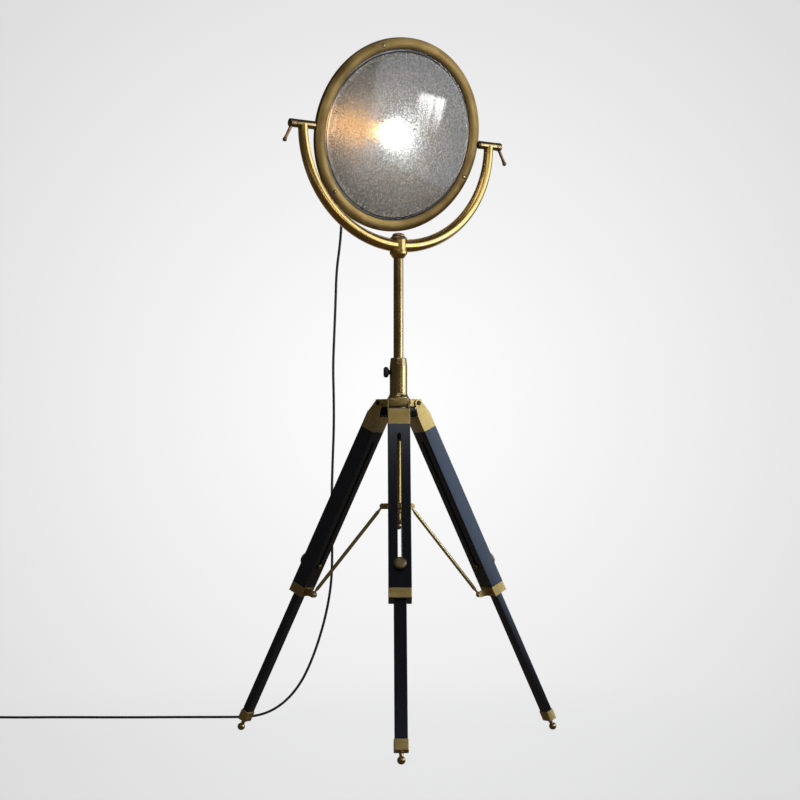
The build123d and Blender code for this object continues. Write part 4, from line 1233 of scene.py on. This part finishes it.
for side in legSides:
    legKnob(side)
    legTip(side)
    legBrace(side)
    for name in ("leg_upper_", "leg_lower_"):
        finishNode(name + side, blackWood[side], 1.0)
    bracket = finishNode("leg_bracket_" + side, satinBrass, 1.2)
    paintShadeInside(bracket, legFrame(side))
    collar = finishNode("leg_collar_" + side, satinBrass, 0.6)
    paintFaces(collar.data, blackPlastic, -legFrame(side).to_3x3().col[2])
finishNode("plug", blackPlastic, 0.8)
finishNode("cord_tie", blackRubber, 0.2)
print("legs built")

# Pale floor, and a world that is lighter for the camera, metal and glass than as light; lengths in metres
studio = {"centre": 1.0, "mid": 0.80, "edge": 0.72, "midAngle": 11, "edgeAngle": 15.5, "fill": 0.55,
          "floorHalf": 12, "floorColour": 0.92, "floorShow": 0.10, "floorFade": (0.7, 1.5)}


def makeFloor():
    bm = bmesh.new()
    bmesh.ops.create_grid(bm, x_segments=2, y_segments=2, size=studio["floorHalf"])
    floor = meshObject("floor", bm)
    floor.location = (axisFoot.x, axisFoot.y, 0)
    material = bpy.data.materials.new("paleFloor")
    tree = bareTree(material)
    away = vectors(tree, "LENGTH", {0: put(tree, "TexCoord").outputs["Object"]}, "Value")
    near = spread(tree, away, studio["floorFade"], (studio["floorShow"], 0))
    seen = put(tree, "LightPath").outputs["Is Camera Ray"]
    solid = maths(tree, "SUBTRACT", 1.0, maths(tree, "MULTIPLY", seen, maths(tree, "SUBTRACT", 1.0, near)))
    matt = put(tree, "BsdfDiffuse", {"Color": rgb(*[studio["floorColour"]] * 3)}).outputs[0]
    clear = put(tree, "BsdfTransparent").outputs[0]
    show(tree, put(tree, "MixShader", {0: solid, 1: clear, 2: matt}))
    floor.data.materials.append(material)


def makeWorld():
    world = bpy.data.worlds.new("studio")
    scene.world = world
    tree = bareTree(world)
    ahead = camera.rotation_euler.to_matrix() @ Vector((0, 0, -1))
    way = put(tree, "TexCoord").outputs["Generated"]
    match = vectors(tree, "DOT_PRODUCT", {0: way, 1: ahead}, "Value")
    angle = maths(tree, "DEGREES", maths(tree, "ARCCOSINE", maths(tree, "MINIMUM", match, 1.0)))
    inner = spread(tree, angle, (0, studio["midAngle"]), (studio["centre"], studio["mid"]))
    fall = (0, studio["mid"] - studio["edge"])
    outer = spread(tree, angle, (studio["midAngle"], studio["edgeAngle"]), fall)
    shade = maths(tree, "SUBTRACT", inner, outer)
    pale = put(tree, "Background", {"Color": shade, "Strength": 1.0}).outputs[0]
    dim = put(tree, "Background", {"Color": rgb(1.0, 1.0, 1.0), "Strength": studio["fill"]}).outputs[0]
    path = put(tree, "LightPath").outputs
    mirrored = maths(tree, "MAXIMUM", path["Is Glossy Ray"], path["Is Transmission Ray"])
    seen = maths(tree, "MAXIMUM", path["Is Camera Ray"], mirrored)
    show(tree, put(tree, "MixShader", {0: seen, 1: dim, 2: pale}), "OutputWorld")


# Lights, in metres from the lamp's foot
lights = {
    "rightWindow": {"place": (3.18, -0.39, 1.6), "aim": (0, 0, 1.6), "size": (3.2, 2.9), "power": 52,
                    "colour": (0.68, 0.81, 1.0), "mirrored": True},
    "topSoftbox": {"place": (0.2, -1.25, 2.75), "aim": (0, 0, 0.8), "size": (1.8, 0.8), "power": 5,
                   "colour": (1.0, 0.98, 0.95), "mirrored": False}}


def addLight(name, light):
    data = bpy.data.lights.new(name, "AREA")
    data.shape = "RECTANGLE"
    data.size, data.size_y = light["size"]
    data.energy = light["power"]
    data.color = light["colour"]
    lamp = bpy.data.objects.new(name, data)
    place = Vector(light["place"])
    lamp.location = axisFoot + place
    lamp.rotation_euler = (Vector(light["aim"]) - place).to_track_quat("-Z", "Y").to_euler()
    lamp.visible_camera = False
    lamp.visible_glossy = light["mirrored"]
    scene.collection.objects.link(lamp)


# Cards that only reflections see, in metres: a curved wall has angles from the camera's side towards +X,
# a flat one has its half width and the depth and height of its two edges
cards = {
    "leftFlag": {"angles": (-165, -20), "radius": 3.4, "levels": (-0.2, 3.6), "colour": (0.055, 0.053, 0.05)},
    "frontFlag": {"angles": (-20, 56), "radius": 5.2, "levels": (-0.2, 3.6), "colour": (0.09, 0.08, 0.065)},
    "upperGlow": {"angles": (-16, 56), "radius": 3.4, "levels": (2.3, 2.95), "colour": (0.90, 0.95, 1.0),
                  "strength": 1.6},
    "lowGlow": {"angles": (27, 46), "radius": 3.0, "levels": (0.40, 0.74), "colour": (1.0, 0.98, 0.92),
                "strength": 4.0},
    "hubCard": {"half": 0.6, "edges": ((-1.08, 2.16), (-1.08, 2.8)), "colour": (1.0, 0.97, 0.88),
                "strength": 1.9},
    "backRightFlag": {"angles": (116, 165), "radius": 3.6, "levels": (-0.2, 3.6),
                      "colour": (0.10, 0.10, 0.10)},
    "ceilingFlag": {"half": 5.2, "edges": ((-5.2, 3.4), (2.5, 3.4)), "colour": (0.05, 0.05, 0.055)},
    "floorCard": {"half": 3.2, "edges": ((-3.2, 0.0004), (1.6, 0.0004)), "colour": (0.07, 0.055, 0.04)},
    "windowPane": {"angles": (67.5, 76.4), "radius": 2.95, "levels": (0.70, 1.19),
                   "colour": (0.95, 0.98, 1.0), "strength": 40, "curtain": 1.8}}
wallSteps = 24
curtain = {"folds": 9, "foldShade": (0.3, 1), "leftFade": (0, 0.3), "rightFade": (1, 0.9),
           "topFade": (1, 0.92), "rise": (0, 0.85), "dim": (0.1, 1)}


def cardMaterial(name, card):
    material = bpy.data.materials.new(name)
    tree = bareTree(material)
    strength = card.get("strength", 1.0)
    shine = put(tree, "Emission", {"Color": rgb(*card["colour"]), "Strength": strength})
    if "curtain" in card:
        split = put(tree, "SeparateXYZ", {0: put(tree, "TexCoord").outputs["Generated"]}).outputs
        side, level = split["Y"], split["Z"]
        folds = {"Scale": curtain["folds"], "Detail": 1, "W": side}
        folds = spread(tree, put(tree, "TexNoise", folds, noise_dimensions="1D").outputs[0], (0.35, 0.65),
                       curtain["foldShade"])
        sides = maths(tree, "MULTIPLY", spread(tree, side, curtain["leftFade"]),
                      spread(tree, side, curtain["rightFade"]))
        fall = maths(tree, "POWER", spread(tree, level, curtain["rise"], curtain["dim"]), card["curtain"])
        top = maths(tree, "MULTIPLY", fall, spread(tree, level, curtain["topFade"]))
        light = maths(tree, "MULTIPLY", maths(tree, "MULTIPLY", sides, top), folds)
        feed(tree, shine.inputs["Strength"], maths(tree, "MULTIPLY", light, strength))
    show(tree, shine)
    return material


def cardColumns(card):
    if "half" in card:
        return [[(side, *edge) for edge in card["edges"]] for side in (-card["half"], card["half"])]
    columns = []
    radius, (first, last) = card["radius"], card["angles"]
    for step in range(wallSteps + 1):
        angle = math.radians(first + (last - first) * step / wallSteps)
        side, depth = radius * math.sin(angle), -radius * math.cos(angle)
        columns.append([(side, depth, level) for level in card["levels"]])
    return columns


def addCard(name, card):
    bm = bmesh.new()
    rows = [[bm.verts.new(axisFoot + Vector(spot)) for spot in column] for column in cardColumns(card)]
    for before, after in zip(rows, rows[1:]):
        bm.faces.new((before[0], after[0], after[1], before[1]))
    panel = meshObject(name, bm)
    panel.data.materials.append(cardMaterial(name, card))
    panel.visible_camera = False
    panel.visible_diffuse = False
    panel.visible_transmission = False
    panel.visible_shadow = False


makeFloor()
makeWorld()
for name, light in lights.items():
    addLight(name, light)
for name, card in cards.items():
    addCard(name, card)
print("studio lit")
